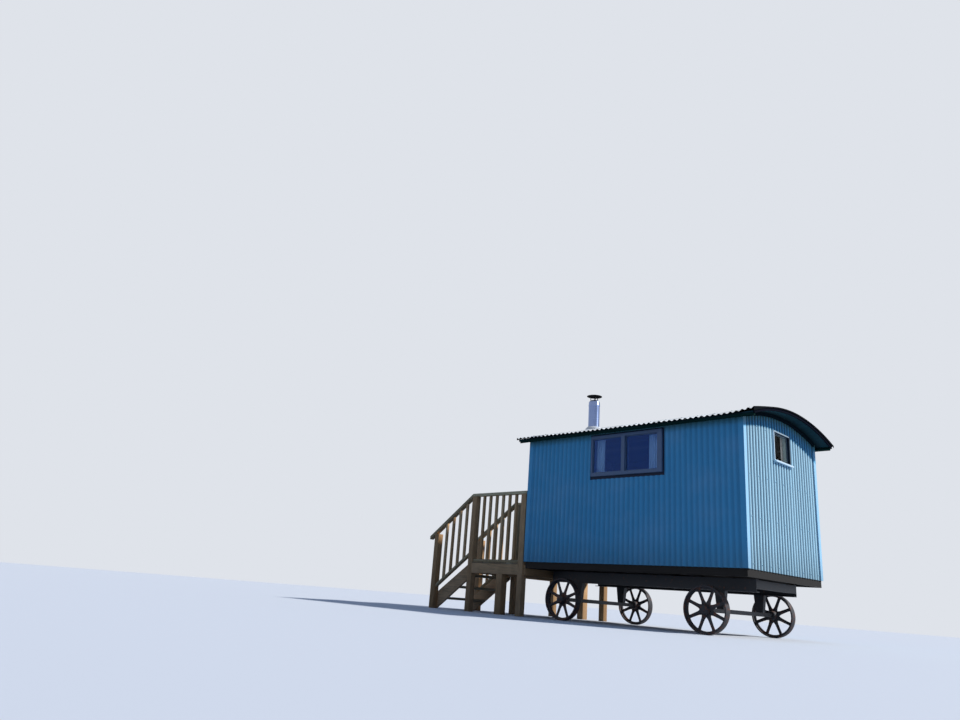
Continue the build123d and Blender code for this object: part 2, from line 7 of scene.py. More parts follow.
import bmesh
import bpy
import numpy as np
from mathutils import Matrix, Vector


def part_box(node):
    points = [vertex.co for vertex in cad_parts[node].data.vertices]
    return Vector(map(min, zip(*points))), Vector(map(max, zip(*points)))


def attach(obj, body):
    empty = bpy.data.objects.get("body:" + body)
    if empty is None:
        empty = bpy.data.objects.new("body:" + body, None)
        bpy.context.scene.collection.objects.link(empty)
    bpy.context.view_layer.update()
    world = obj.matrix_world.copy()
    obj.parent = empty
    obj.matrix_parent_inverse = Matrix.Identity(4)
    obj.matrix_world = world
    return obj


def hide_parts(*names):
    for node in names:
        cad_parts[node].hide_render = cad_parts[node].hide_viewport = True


bl_info = {
    "name": "Shepherd's hut",
    "version": (1, 0, 0),
    "blender": (4, 5, 0),
    "location": "View3D > Sidebar > Hut",
    "description": "Builds the skin, fittings and finishes of a shepherd's hut over its frame",
    "category": "Add Mesh",
}

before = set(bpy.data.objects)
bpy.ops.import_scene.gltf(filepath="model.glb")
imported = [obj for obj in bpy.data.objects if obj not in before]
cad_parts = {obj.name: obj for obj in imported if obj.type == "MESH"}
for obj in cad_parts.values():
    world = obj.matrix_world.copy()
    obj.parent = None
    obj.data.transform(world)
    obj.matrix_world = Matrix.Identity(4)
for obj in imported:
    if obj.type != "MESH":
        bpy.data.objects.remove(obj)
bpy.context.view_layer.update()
random = np.random.default_rng(11)

MM = 0.001

# Sizes in metres: the frame's own, and those of what is laid over it.
FLUTE_DEPTH = 0.018
EAVE_OVERHANG = 0.140
ROOF_RISE = 0.213
ROOF_BOARD = 0.020
SHEET_GAUGE = 0.001
SHEET_INSET = 0.5 * MM
SCREW_SINK = 0.5 * MM
LAP_LIFT = 0.0016
CURL_RISE = 0.038
CURL_RUN = 0.42
CURL_WIDTH = 0.55
FAR_CURL_WIDTH = 1.6 * CURL_WIDTH
DOOR_CURL_RUN = 3 * CURL_RUN
VERGE_LIP = FLUTE_DEPTH
POST = 0.095
JOIST = 0.045
JOINT = 0.2 * MM
HANDRAIL = 0.082, 0.045
FOOT_RAIL = 0.060, 0.035
RAIL_RISE = 1.046
SCREWED_FLUTES = 3
ROOF_SCREW_ROWS = -0.955, -0.62, -0.3, 0, 0.3, 0.62, 0.955
FOOT_RAIL_LIFT = 0.095
DECK_BOARD = 0.120
SUPPORT = 0.118
SUPPORT_OFFSET = 0.485
RISERS = 4
GOING = 0.270

# Places read from the frame, in metres. X runs from the stair to the window end, the windowed side
# faces -Y, and Z is up from the ground.
side_low, side_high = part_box("window_side_cladding")
roof_low, roof_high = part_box("roof_sheet")
HALF_WIDTH = -side_low.y
FRAME_HALF = -side_high.y
FRAME_START = side_low.x
FRAME_END = side_high.x
SHEET_BOTTOM = side_low.z
SHEET_TOP = side_high.z
HALF_SPAN = HALF_WIDTH + EAVE_OVERHANG
CREST_RADIUS = (HALF_SPAN**2 + ROOF_RISE**2) / (2 * ROOF_RISE)
ROOF_AXIS_Z = roof_high.z - CREST_RADIUS
EAVE_ANGLE = math.asin(HALF_SPAN / CREST_RADIUS)
SOFFIT_RADIUS = CREST_RADIUS - FLUTE_DEPTH - ROOF_BOARD
WALL_SCREW_ROWS = SHEET_BOTTOM + 0.06, 1.36, 1.86, SHEET_TOP - 0.09


def linear(code):
    """Linear red, green, blue and alpha of an sRGB hex colour."""
    parts = [int(code[i : i + 2], 16) / 255 for i in (1, 3, 5)]
    return tuple(p / 12.92 if p <= 0.04045 else ((p + 0.055) / 1.055) ** 2.4 for p in parts) + (1.0,)


def per(mm):
    """Repeats in a metre of a pattern whose real size is given in millimetres."""
    return 1000 / mm


# Sizes and colours that a user may change
def length(name, description, default):
    return bpy.props.FloatProperty(name=name, description=description, default=default, unit="LENGTH")


def colour(name, description, code):
    return bpy.props.FloatVectorProperty(
        name=name, description=description, default=linear(code), size=4, subtype="COLOR", min=0, max=1
    )


class HutSizes(bpy.types.PropertyGroup):
    flute_pitch: length("Flute pitch", "Distance between the crests of the corrugated sheets", 0.0762)
    screw_radius: length("Screw washer", "Radius of the domed washers under the sheet screws", 0.011)
    sheet_cover: bpy.props.IntProperty(
        name="Flutes a sheet", description="Flutes that one sheet covers beside its lap", default=8, min=2
    )
    soffit_board: length("Soffit board", "Width of the roof boards seen under the overhangs", 0.095)
    deck_gap: length("Deck gap", "Gap between the boards of the landing", 0.005)
    baluster: length("Baluster", "Width of the square balusters", 0.038)
    baluster_pitch: length("Baluster spacing", "Distance between the balusters' middles", 0.145)
    door_board: length("Door board", "Width of the boards of the stable door", 0.118)


class HutColours(bpy.types.PropertyGroup):
    wall_paint: colour("Wall paint", "Gloss paint of the long sides and the door end", "#59add2")
    # A paler copy of the wall paint, painted in as sunlight on the window end.
    sunlit_end_paint: colour("End paint", "Paler gloss paint of the window end as painted sunlight", "#c3eefc")
    zinc: colour("Zinc", "Weathered zinc of the roof sheets", "#e3e6e8")
    window_paint: colour("Window paint", "Paint of the side window's frame and sashes", "#4d6583")
    end_window_paint: colour("End window paint", "Paint of the end window's frame and sill", "#cfe6f2")
    rail_wood: colour("Rail wood", "Weathered top of the landing's timbers", "#ecd5a4")
    post_wood: colour("Post wood", "Browner timber of posts, joists and strings", "#dcb080")


# Meshes. A part is its points, faces, corner UVs in metres and a tint for each point.
def grid(points, uv, tint=0.5, closed=False, keep=None, flip=False):
    """Quads over a grid of points, each joined to the next row and column; a closed grid joins its
    last column to its first."""
    rows, cols = points.shape[:2]
    i, j = np.indices((rows - 1, cols if closed else cols - 1))
    if keep is not None:
        i, j = i[keep], j[keep]
    i, j = i.ravel(), j.ravel()
    ring = ((i, j), (i + 1, j), (i + 1, j + 1), (i, j + 1))
    if flip:
        ring = ring[::-1]
    faces = np.stack([a * cols + b % cols for a, b in ring], 1)
    corners = np.stack([uv[a, b] for a, b in ring], 1).reshape(-1, 2)
    return points.reshape(-1, 3), faces.tolist(), corners, np.full(rows * cols, float(tint))


def stacked(*coordinates):
    """Points from their coordinates, each spread to the shape of the largest."""
    return np.stack(np.broadcast_arrays(*coordinates), -1)


def plain_uv(rows, cols):
    """UVs from two lists of distances in metres, one down the rows and one along the columns."""
    return stacked(np.asarray(rows)[:, None], cols)


def merged(parts):
    """Several parts as one."""
    points, faces, uvs, tints = zip(*parts)
    starts = np.cumsum([0] + [len(p) for p in points]).tolist()
    joined = [[v + start for v in face] for start, f in zip(starts, faces) for face in f]
    return np.concatenate(points), joined, np.concatenate(uvs), np.concatenate(tints)


def scattered(part, places, turns):
    """Copies of a part, each turned by its own 3x3 matrix and moved to its own place."""
    points, faces, uv, tint = part
    count, size = len(places), len(points)
    moved = np.einsum("nij,kj->nki", turns, points) + np.asarray(places)[:, None]
    copies = [[v + size * n for v in face] for n in range(count) for face in faces]
    return moved.reshape(-1, 3), copies, np.tile(uv, (count, 1)), np.tile(tint, count)


def facing(directions):
    """Turning matrices whose third axis points in each direction."""
    third = directions / np.linalg.norm(directions, axis=1, keepdims=True)
    helper = np.where(np.abs(third[:, :1]) < 0.9, [[1.0, 0, 0]], [[0, 1.0, 0]])
    first = np.cross(helper, third)
    first /= np.linalg.norm(first, axis=1, keepdims=True)
    return np.stack([first, np.cross(third, first), third], -1)


def turned(profile, centre=(0, 0, 0), axis="Z", steps=64):
    """Turned form: a profile of radii and heights carried once round an axis through the centre."""
    profile = np.array(profile, float)
    angle = np.linspace(0, 2 * np.pi, steps, endpoint=False)
    across = profile[:, :1] * np.cos(angle)
    up = profile[:, :1] * np.sin(angle)
    along = np.broadcast_to(profile[:, 1:], across.shape)
    order = {"X": (along, across, up), "Y": (up, along, across), "Z": (across, up, along)}[axis]
    points = np.stack(order, -1) + np.asarray(centre)
    run = np.append(0, np.cumsum(np.linalg.norm(np.diff(profile, axis=0), axis=1)))
    around = np.linspace(0, 2 * np.pi * profile[:, 0].max(), steps + 1)
    return grid(points, plain_uv(run, around), closed=True)


def bar(start, end, width, depth, side=(0, 1, 0), cut=None, soft=0.003):
    """Sawn timber from start to end: a rectangle with quarter-round edges, width along side and
    depth square to it, carried along the line between the ends. Its end rings are drawn in a
    little, and slide along the line to lie square to cut."""
    start, end = np.asarray(start, float), np.asarray(end, float)
    reach = np.linalg.norm(end - start)
    axis = (end - start) / reach
    side = np.asarray(side, float) - np.dot(side, axis) * axis
    side /= np.linalg.norm(side)
    other = np.cross(axis, side)
    soft = min(soft, width / 3, depth / 3)
    angle = np.radians([0, 45, 90]) + np.radians([[0], [90], [180], [270]])
    corner = np.stack([np.sign(np.cos(angle[:, 1:2])), np.sign(np.sin(angle[:, 1:2]))], -1)
    corner = corner * (width / 2 - soft, depth / 2 - soft)
    bend = np.stack([np.cos(angle), np.sin(angle)], -1)
    distance = np.array([0, soft, reach - soft, reach])
    swell = np.array([0.3, 1, 1, 0.3]) * soft
    section = (corner[None] + swell[:, None, None, None] * bend[None]).reshape(4, 12, 2)
    offset = section[..., :1] * side + section[..., 1:] * other
    slide = 0 if cut is None else -(offset @ np.asarray(cut, float)) / np.dot(axis, cut)
    points = start + offset + (distance[:, None] + slide)[..., None] * axis
    around = np.append(0, np.cumsum(np.linalg.norm(np.diff(section[1], axis=0), axis=1)))
    around = np.append(around, 2 * (width + depth))
    shift = random.uniform(0, 40, 2)
    p, faces, uv, tints = grid(points, plain_uv(distance, around) + shift, random.uniform(0, 1), closed=True)
    faces += [list(range(11, -1, -1)), list(range(36, 48))]
    return p, faces, np.concatenate([uv, section[0][::-1] + shift, section[3] + shift]), tints


def linked(name, data):
    """A new object of the scene that holds a mesh, a light or a camera."""
    obj = bpy.data.objects.new(name, data)
    bpy.context.scene.collection.objects.link(obj)
    return obj


def build(name, parts, finish, replaces=(), gauge=0.0, weld=False, sharp=35):
    """One object from parts, riding on the hut. A gauge thickens an open sheet inwards."""
    points, faces, uv, tint = merged(parts)
    mesh = bpy.data.meshes.new(name)
    mesh.from_pydata(points.tolist(), [], faces)
    mesh.uv_layers.new(name="Along").data.foreach_set("uv", uv.ravel())
    mesh.attributes.new("tint", "FLOAT", "POINT").data.foreach_set("value", tint)
    if weld:
        shape = bmesh.new()
        shape.from_mesh(mesh)
        bmesh.ops.remove_doubles(shape, verts=shape.verts, dist=1e-6)
        bmesh.ops.recalc_face_normals(shape, faces=shape.faces)
        shape.to_mesh(mesh)
        shape.free()
    mesh.polygons.foreach_set("use_smooth", np.ones(len(mesh.polygons), bool))
    mesh.set_sharp_from_angle(angle=math.radians(sharp))
    edges = np.zeros(len(mesh.loops), np.int32)
    mesh.loops.foreach_get("edge_index", edges)
    rims = np.bincount(edges, minlength=len(mesh.edges)) == 1
    flags = np.zeros(len(mesh.edges), bool)
    mesh.edges.foreach_get("use_edge_sharp", flags)
    mesh.edges.foreach_set("use_edge_sharp", flags | rims)
    mesh.materials.append(made[finish])
    obj = linked(name, mesh)
    if gauge:
        thick = obj.modifiers.new("Gauge", "SOLIDIFY")
        thick.thickness = gauge
        thick.offset = -1
    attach(obj, "root")
    if replaces:
        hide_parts(*replaces)
    return obj


def dress(finish, *nodes, soft=0.0):
    """Gives frame nodes their material and, where asked, worn edges of that width."""
    for obj in (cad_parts[node] for node in nodes):
        if not obj.material_slots:
            obj.data.materials.append(made[finish])
        for place in obj.material_slots:
            place.material = made[finish]
        if soft:
            weld = obj.modifiers.new("Weld", "WELD")
            weld.merge_threshold = 1e-5
            edge = obj.modifiers.new("Worn edges", "BEVEL")
            edge.width, edge.segments = soft, 2
            edge.limit_method, edge.angle_limit = "ANGLE", math.radians(40)
            edge.harden_normals = False


# Materials
def shade(value):
    """A value as it is, or the linear colour of a hex code."""
    return linear(value) if isinstance(value, str) else value


def add_node(tree, kind, inputs=None, ramp=(), **settings):
    """Adds one node with its settings, ramp stops and inputs, which are values or other outputs."""
    node = tree.nodes.new("ShaderNode" + kind)
    for key, value in settings.items():
        setattr(node, key, value)
    for key, value in (inputs or {}).items():
        if isinstance(value, bpy.types.NodeSocket):
            tree.links.new(value, node.inputs[key])
        else:
            node.inputs[key].default_value = shade(value)
    for index, (position, tone) in enumerate(ramp):
        stops = node.color_ramp.elements
        stop = stops[index] if index < len(stops) else stops.new(position)
        stop.position, stop.color = position, shade(tone)
    return node


class Finish:
    """A new material with one surface shader, whose own sockets get the values, and short ways to
    add nodes. They return outputs, which later nodes may take as inputs, but show and relief, which
    reach the shader, return the material."""

    def __init__(self, name, space="Object", **values):
        self.material = bpy.data.materials.new(name)
        self.material.use_nodes = True
        self.tree = self.material.node_tree
        self.sockets = self.tree.nodes["Principled BSDF"].inputs
        self.space = space
        for key, value in values.items():
            self.sockets[key.replace("_", " ")].default_value = shade(value)

    def show(self, **outputs):
        """Joins outputs to the shader's sockets."""
        for key, output in outputs.items():
            self.tree.links.new(output, self.sockets[key.replace("_", " ")])
        return self.material

    def add(self, kind, inputs=None, output=0, **settings):
        return add_node(self.tree, kind, inputs, **settings).outputs[output]

    @cached_property
    def place(self):
        """Coordinates in metres, by default the object's own."""
        return self.add("TexCoord", output=self.space)

    @cached_property
    def axes(self):
        return dict(zip("XYZ", add_node(self.tree, "SeparateXYZ", {"Vector": self.place}).outputs))

    def math(self, operation, *values, **settings):
        return self.add("Math", dict(enumerate(values)), operation=operation, **settings)

    def span(self, value, source=(0, 1), target=(0, 1)):
        """A value carried from its source range to the target range, and held at the ends."""
        ends = zip(("From Min", "From Max", "To Min", "To Max"), (*source, *target))
        return self.add("MapRange", {"Value": value, **dict(ends)})

    def mix(self, share, first, second, **settings):
        return self.add("Mix", {"Factor": share, "A": first, "B": second}, 2, data_type="RGBA", **settings)

    def ramp(self, value, *stops):
        return self.add("ValToRGB", {"Fac": value}, ramp=stops)

    def noise(self, size, detail, **inputs):
        """Noise of one size in millimetres, or of a size for each axis."""
        place = self.place
        if not isinstance(size, (int, float)):
            place = self.add("Mapping", {"Vector": place, "Scale": [per(mm) for mm in size]})
            size = 1000
        return self.add("TexNoise", {"Vector": place, "Scale": per(size), "Detail": detail, **inputs}, "Fac")

    def reach(self, moved):
        """Distance from the X axis, after the move."""
        flat = self.add("Mapping", {"Vector": self.place, "Scale": (0, 1, 1), "Location": moved})
        return self.add("VectorMath", {0: flat}, "Value", operation="LENGTH")

    def relief(self, height, strength, deep):
        """Bump from a height, as deep as the given millimetres."""
        inputs = {"Height": height, "Strength": strength, "Distance": deep * MM}
        return self.show(Normal=self.add("Bump", inputs))


def grey(value):
    return (value, value, value, 1.0)


def fluted_paint(name, paint, bleached=None, start=0.0, valley_shade=0.3):
    """Oil gloss brushed over galvanised corrugated steel: an even coat with faint upright brush
    marks, a little chalked here and there, with grime and painted shade in its valleys, splashed dirt
    along its foot and a painted green shade under the roof. From start on, a distance along X, a paler
    tone is painted in as sunlight, except in the arc of the overhang's painted shadow, where the wall
    paint stays: the roof's edge moved 196 mm down and 157 mm across."""
    look = Finish(name, Roughness=0.42, Specular_IOR_Level=0.18)
    # A paler tone painted in as sunlight, with the wall paint kept as the overhang's painted shadow.
    if bleached:
        shadow_radius, soft = SOFFIT_RADIUS - 0.01, 0.012
        reach = look.reach((0, 0.157, 0.196 - ROOF_AXIS_Z))
        sunlit_share = look.span(reach, (shadow_radius + soft, shadow_radius - soft))
        folded = look.math("GREATER_THAN", look.axes["X"], start)
        paint = look.mix(look.math("MULTIPLY", sunlit_share, folded), paint, bleached)
    cloud = look.noise(420, 4)
    brushed = look.noise((9, 9, 350), 3)
    shown = look.mix(look.span(cloud, (0.45, 0.8), (0, 0.12)), paint, "#cfe6f2")
    side, end, door = (
        look.span(along, (trough, crest))
        for along, trough, crest in ((look.math("ABSOLUTE", look.axes["Y"]), FRAME_HALF, HALF_WIDTH),
                                     (look.axes["X"], FRAME_END, FRAME_END + FLUTE_DEPTH),
                                     (look.axes["X"], FRAME_START, FRAME_START - FLUTE_DEPTH))
    )
    crest = look.math("MAXIMUM", look.math("MAXIMUM", side, end), door)
    # Grime and painted shade darken the valleys, so the crests read lighter.
    shown = look.mix(look.span(crest, (0.1, 0.95), (valley_shade, 0)), shown, "#0c3350")
    foot = look.span(look.axes["Z"], (SHEET_BOTTOM, SHEET_BOTTOM + 0.35), (0.55, 0))
    shown = look.mix(look.math("MULTIPLY", foot, brushed), shown, "#4d5a55")
    # A green painted shade under the eaves, strongest next to the roof.
    painted_eave_shade = look.span(look.reach((0, 0, -ROOF_AXIS_Z)), (SOFFIT_RADIUS - 0.13, SOFFIT_RADIUS - 0.01),
                     (0, 0.85))
    look.relief(brushed, 0.25, 0.4)
    look.show(Roughness=look.span(cloud, target=(0.32, 0.52)))
    return look.show(Base_Color=look.mix(painted_eave_shade, shown, "#566b35"))


def weathered_zinc(name, zinc, verge=None):
    """Hot-dip galvanised sheet after years outdoors: dulled zinc with faint crystal spangles about
    15 mm across and darker runs down the fall of the roof. Beyond the verge, a distance along X,
    the sheet is tarred with the edge board."""
    look = Finish(name, Metallic=0.55, Roughness=0.5, Specular_IOR_Level=0.05)
    spangle = look.add("TexVoronoi", {"Vector": look.place, "Scale": per(15)}, "Color")
    runs = look.noise((28, 600, 600), 4)
    dull = (*(0.62 * part for part in zinc[:3]), 1.0)
    shown = look.mix(1.0, look.ramp(runs, (0.3, dull), (0.6, zinc)), look.span(spangle, target=(0.88, 1.06)),
                     blend_type="MULTIPLY")
    if verge:
        tarred = look.math("GREATER_THAN", look.axes["X"], verge)
        shown = look.mix(tarred, shown, "#0b0e1b")
        look.show(Metallic=look.math("SUBTRACT", 0.5, tarred, use_clamp=True))
    return look.show(Base_Color=shown, Roughness=look.span(runs, target=(0.36, 0.62)))


def sawn_timber(name, pale, brown, along="UV", grain=6.0, gloss=0.82, streak=0.5, shine=0.25):
    """Pressure-treated softwood left outdoors: silver-grey where the weather reaches and brown
    under it, with long open grain, darker checks and a tint that differs from bar to bar."""
    look = Finish(name, "UV" if along == "UV" else "Object", Roughness=gloss, Specular_IOR_Level=shine)
    sizes = (260, grain, 1000) if along == "UV" else [260 if axis == along else grain for axis in "XYZ"]
    fibre = look.noise(sizes, 6, Roughness=0.62, Distortion=0.35)
    tint = look.add("Attribute", output="Fac", attribute_name="tint")
    patch = look.math("ADD", look.noise(180, 3), tint)
    worn = look.span(patch, (0.45, 1.2), (0.5 - streak, 0.5 + streak))
    lines = look.ramp(fibre, (0.28, grey(0.35)), (0.46, grey(0.86)), (0.7, grey(1.12)))
    look.relief(fibre, 0.6, 0.8)
    return look.show(Base_Color=look.mix(1.0, look.mix(worn, pale, brown), lines, blend_type="MULTIPLY"))


def boarded(name, pale, dark, width, across, gloss=0.7, shine=0.3, stain=False, sheet=None):
    """Planed boards laid side by side: each board has its own shade, fine grain along it and a dark
    2.5 mm joint. Across is the axis that counts the boards. A painted shade darkens them beside the end
    walls, where they meet the walls, and a dark breather sheet covers the outer face of a side wall,
    which also stands as painted shade in the gap round the window."""
    look = Finish(name, Roughness=gloss, Specular_IOR_Level=shine)
    count = look.math("MULTIPLY", look.axes[across], 1 / width)
    own = look.add("TexWhiteNoise", {"W": look.math("FLOOR", count)}, "Value", noise_dimensions="1D")
    gap = look.span(look.math("PINGPONG", count, 0.5), (0, 2.5 * MM / width), (0.25, 1))
    fibre = look.noise([5 if axis == across else 300 for axis in "XYZ"], 5)
    shown = look.mix(1.0, look.mix(look.math("MULTIPLY", own, fibre), pale, dark), gap, blend_type="MULTIPLY")
    # Painted shade darkens the boards beside the end walls, where they meet the wall.
    if stain:
        middle, wall = (FRAME_START + FRAME_END) / 2, (FRAME_END - FRAME_START) / 2 + FLUTE_DEPTH
        out = look.math("ABSOLUTE", look.math("SUBTRACT", look.axes["X"], middle))
        shown = look.mix(look.span(out, (wall + 0.02, wall + 0.1), (0.8, 0)), shown, "#0c1618")
    # A dark breather sheet on the outer face, which also stands as painted shade in the gap round the window.
    if sheet:
        outer = look.math("GREATER_THAN", look.math("ABSOLUTE", look.axes["Y"]), FRAME_HALF - 0.004)
        shown = look.mix(outer, shown, sheet)
    look.relief(gap, 0.7, 1.5)
    return look.show(Base_Color=shown)


def joinery_paint(name, paint, dirt="#3b4048", painted_shade=()):
    """Brushed exterior paint on planed joinery: nearly even, a little thin and dirty in places,
    with the timber's grain just showing through as relief. In each zone of painted shade, given by a
    share and its spans along some axes, that share of a dark navy tone is painted in as shade."""
    look = Finish(name, Roughness=0.45)
    worn = look.ramp(look.noise(70, 5), (0.55, grey(0)), (0.8, grey(0.35)))
    shown = look.mix(worn, paint, dirt)
    for share, spans in painted_shade:
        for axis, low, high in spans:
            within = look.math("COMPARE", look.axes[axis], (low + high) / 2, (high - low) / 2)
            share = look.math("MULTIPLY", share, within)
        # A dark navy tone painted in as shade.
        shown = look.mix(share, shown, "#152a3c")
    look.relief(look.noise(4, 3), 0.2, 0.3)
    return look.show(Base_Color=shown)


def window_glass(name, tone, mirror, index):
    """Float glass: smooth and faintly tinted, with its mirror in a given tint, which on the side window is a
    painted reflection of blue sky; it lets the curtains and the dark room show."""
    return Finish(name, Base_Color=tone, Roughness=0.02, IOR=index, Transmission_Weight=1.0,
                  Specular_Tint=mirror).material


def curtain_cotton(name):
    """Unlined white cotton: a plain weave of threads about 0.8 mm apart, drawn at 1.6 mm so that it
    shows, soft and slightly see-through."""
    look = Finish(name, "UV", Roughness=0.9, Specular_IOR_Level=0.2, Sheen_Weight=0.25)
    threads = {"Vector": look.place, "Scale": per(1.6) / 6.28, "Distortion": 0.6}
    weave = look.math("ADD", *(look.add("TexWave", threads, "Fac", bands_direction=way) for way in "XY"))
    look.relief(weave, 0.3, 0.3)
    return look.show(Base_Color=look.ramp(weave, (0.0, "#c9c8d3"), (1.0, "#f2f1f4")))


def brushed_stainless(name, soot=None):
    """Stainless steel flue: drawn round the pipe, so its fine lines run around and the highlight
    runs upright, with blue tones in patches as a painted reflection of blue sky. Soot darkens it
    between two levels."""
    look = Finish(name, "UV", Metallic=1.0, Roughness=0.2, Anisotropic=0.8, Anisotropic_Rotation=0.25)
    look.show(Tangent=look.add("Tangent", direction_type="RADIAL", axis="Z"))
    lines = look.noise((1.5, 200, 1000), 4)
    # Blue tones that paint a reflection of blue sky.
    shown = look.ramp(lines, (0.3, "#6f82ae"), (0.7, "#97a6c7"))
    if soot:
        look.place = look.add("TexCoord", output="Object")
        black = look.span(look.axes["Z"], soot, (0, 0.97))
        shown = look.mix(black, shown, "#0b0f1e")
    return look.show(Base_Color=shown, Roughness=look.span(lines, target=(0.3, 0.46)))


def sooty_steel(name, tone, rust, amount, gloss, metal=0.2, shine=0.5):
    """Black-painted or sooted iron and steel: matt, with rust breaking through in small patches
    and a fine cast or scaled grain."""
    look = Finish(name, Roughness=gloss, Metallic=metal, Specular_IOR_Level=shine)
    patch = look.noise(45, 7, Roughness=0.65)
    spots = look.ramp(patch, (0.62 - 0.2 * amount, grey(0)), (0.72, grey(1)))
    look.relief(look.noise(3, 3), 0.35, 0.5)
    return look.show(Base_Color=look.mix(spots, tone, rust))


def dull_aluminium(name):
    """Spun aluminium flashing: pale, matt and slightly dusty after years outdoors."""
    look = Finish(name, Roughness=0.6, Metallic=0.5)
    dust = look.noise(60, 5)
    return look.show(Base_Color=look.ramp(dust, (0.35, "#a9afb6"), (0.7, "#d3d7db")))


def finishes(sizes, colours):
    """All the hut's materials by name."""
    wall, end, zinc, window, end_window, rail, post = (
        tuple(getattr(colours, name)) for name in HutColours.__annotations__
    )
    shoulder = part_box("flue_pipe")[1].z
    pane, pane_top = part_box("end_window_glass")
    # Painted shade on the end window: its reveals, its far stile and, by half, its head, each darkened as
    # shade.
    face, beyond, above = FRAME_END + FLUTE_DEPTH - 1 * MM, 1.0, SHEET_TOP + 1
    painted_reveal_shade = (
        (1.0, (("X", pane_top.x, face),)),
        (1.0, (("X", pane_top.x, beyond + face), ("Y", pane_top.y, beyond), ("Z", pane.z, above))),
        (0.5, (("Z", pane_top.z, above),)),
    )
    return {
        # Long sides and door end: painted shade in the valleys and under the eaves.
        "wall": fluted_paint("Brushed gloss paint on corrugated steel", wall, valley_shade=0.22),
        # The window end: a paler tone as painted sunlight, the wall paint as the overhang's painted shadow
        # and strong painted shade in the valleys.
        "end": fluted_paint("Sun-bleached gloss paint on corrugated steel", wall, end, 0, 0.95),
        # The flashings' end legs take a paler tone as painted sunlight.
        "corner": fluted_paint("Brushed gloss paint on folded flashings", wall, "#a3d3ee",
                               FRAME_END + FLUTE_DEPTH + 1.5 * MM),
        "roof": weathered_zinc("Weathered galvanised sheet", zinc, roof_high.x - 0.03),
        # The sheets' underside is near-black as painted shade.
        "shaded_underside": sawn_timber("Tarred underside of galvanised sheet", "#0d1319", "#080c10", shine=0.03),
        # Roof boards in dark teal: painted shade under the eaves with a painted green reflection, and more
        # painted shade beside the end walls.
        "shaded_soffit": boarded("Tarred roof boards", "#27494f", "#1b363b", sizes.soffit_board, "Y", shine=0.04,
                          stain=True),
        "edge": sawn_timber("Tarred edge boards", "#080d1c", "#04060d", "Y", gloss=0.9, shine=0.03),
        # The trim where the soffit meets the end wall is near-black teal as painted corner shade.
        "trim": sawn_timber("Tarred trim", "#16242a", "#0f191d", "Y", gloss=0.9, shine=0.02),
        # The eave battens are dark green-grey as painted shade under the eaves.
        "batten": sawn_timber("Damp eave battens", "#15332d", "#0d201c", "X", shine=0.03),
        # The lining's dark navy outer sheet shows in the window gap as painted shade.
        "lining": boarded("Oiled pine wall lining", "#7d6043", "#563f2a", 0.1, "X", 0.6, sheet="#0c1c34"),
        "ceiling": boarded("Oiled pine ceiling boards", "#84664a", "#5c4530", 0.1, "Y", 0.6),
        "floor": boarded("Oiled floorboards", "#b08456", "#7a5433", 0.12, "Y", 0.45),
        "underfloor": sawn_timber("Tarred floor joists", "#221f1c", "#141210", "X"),
        "window": joinery_paint("Slate-blue joinery paint", window),
        "end_window": joinery_paint("White joinery paint on dark reveals", end_window, "#8b9497", painted_reveal_shade),
        # The glazing beads are the white paint greyed as painted shade.
        "bead": joinery_paint("Greyed glazing bead paint", "#8999a2", "#5b6467"),
        "door": joinery_paint("Blue door paint", wall),
        # The side glass mirrors in blue as a painted sky reflection.
        "glass": window_glass("Blue-coated float glass", "#b4d2f0", "#4a80f0", 1.7),
        "end_glass": window_glass("Grey float glass", "#f4f5f0", "#4a4c46", 1.05),
        "cotton": curtain_cotton("Unlined curtain cotton"),
        "rod": sooty_steel("Drawn steel rod", "#8a8d92", "#6d6f74", 0.1, 0.35),
        "flue": brushed_stainless("Brushed stainless flue"),
        "cowl": brushed_stainless("Sooted stainless cowl", (shoulder - 0.032, shoulder - 0.004)),
        "cap": sooty_steel("Sooted flue cap", "#090a0f", "#17120f", 0.1, 0.9, 0, 0.05),
        "flashing": dull_aluminium("Spun aluminium flashing"),
        "chassis": sooty_steel("Black chassis paint", "#22252a", "#5f3722", 0.15, 0.5),
        "iron": sooty_steel("Cast iron wheels", "#2e2f33", "#7a4527", 0.55, 0.7),
        "ironmongery": sooty_steel("Black door ironmongery", "#1b1b1d", "#3b2c24", 0.1, 0.55),
        "screw": weathered_zinc("Zinc-plated screws", linear("#b5b9bc")),
        "rail": sawn_timber("Weathered rail timber", rail, "#a88f68", streak=0.35),
        "baluster": sawn_timber("Weathered balusters", "#f0c48f", "#c99a67", streak=0.4),
        "post": sawn_timber("Treated post timber", post, "#b1875a", streak=0.4),
        "deck": sawn_timber("Weathered deck boards", "#c9b590", "#917a59", grain=5.0),
        "string": sawn_timber("Treated stair strings", post, "#b1875a", "X"),
    }


# Corrugated sheets
def flutes(total, pitch):
    """Count of flutes in a length and the pitch that fits them exactly, as the frame's sheets have."""
    count = max(1, round(total / pitch))
    return count, total / count


def wave(u, pitch):
    """Height of a corrugated sheet: a cosine, in a trough at 0 and on a crest at half a pitch."""
    return FLUTE_DEPTH / 2 * (1 - np.cos(2 * np.pi * u / pitch))


def lapped(total, sizes, extra=(), samples=12, shift=0.0):
    """Sheets side by side, each one flute longer than its cover so that the next one laps it:
    distances along, heights, and a tint for each sheet. A lapping sheet starts a little proud and
    comes down over its second flute. The shift, in pitches, moves the wave along."""
    count, step = flutes(total, sizes.flute_pitch)
    for first in range(0, count, sizes.sheet_cover):
        last = min(first + sizes.sheet_cover + 1, count)
        u = np.linspace(first * step, last * step, (last - first) * samples + 1)
        u = np.unique(np.append(u, [edge for edge in extra if u[0] < edge < u[-1]]))
        lift = LAP_LIFT * np.clip(2 - (u / step - first), 0, 1) if first else 0 * u
        yield u, wave(u + shift * step, step) + lift, random.uniform(0, 1)


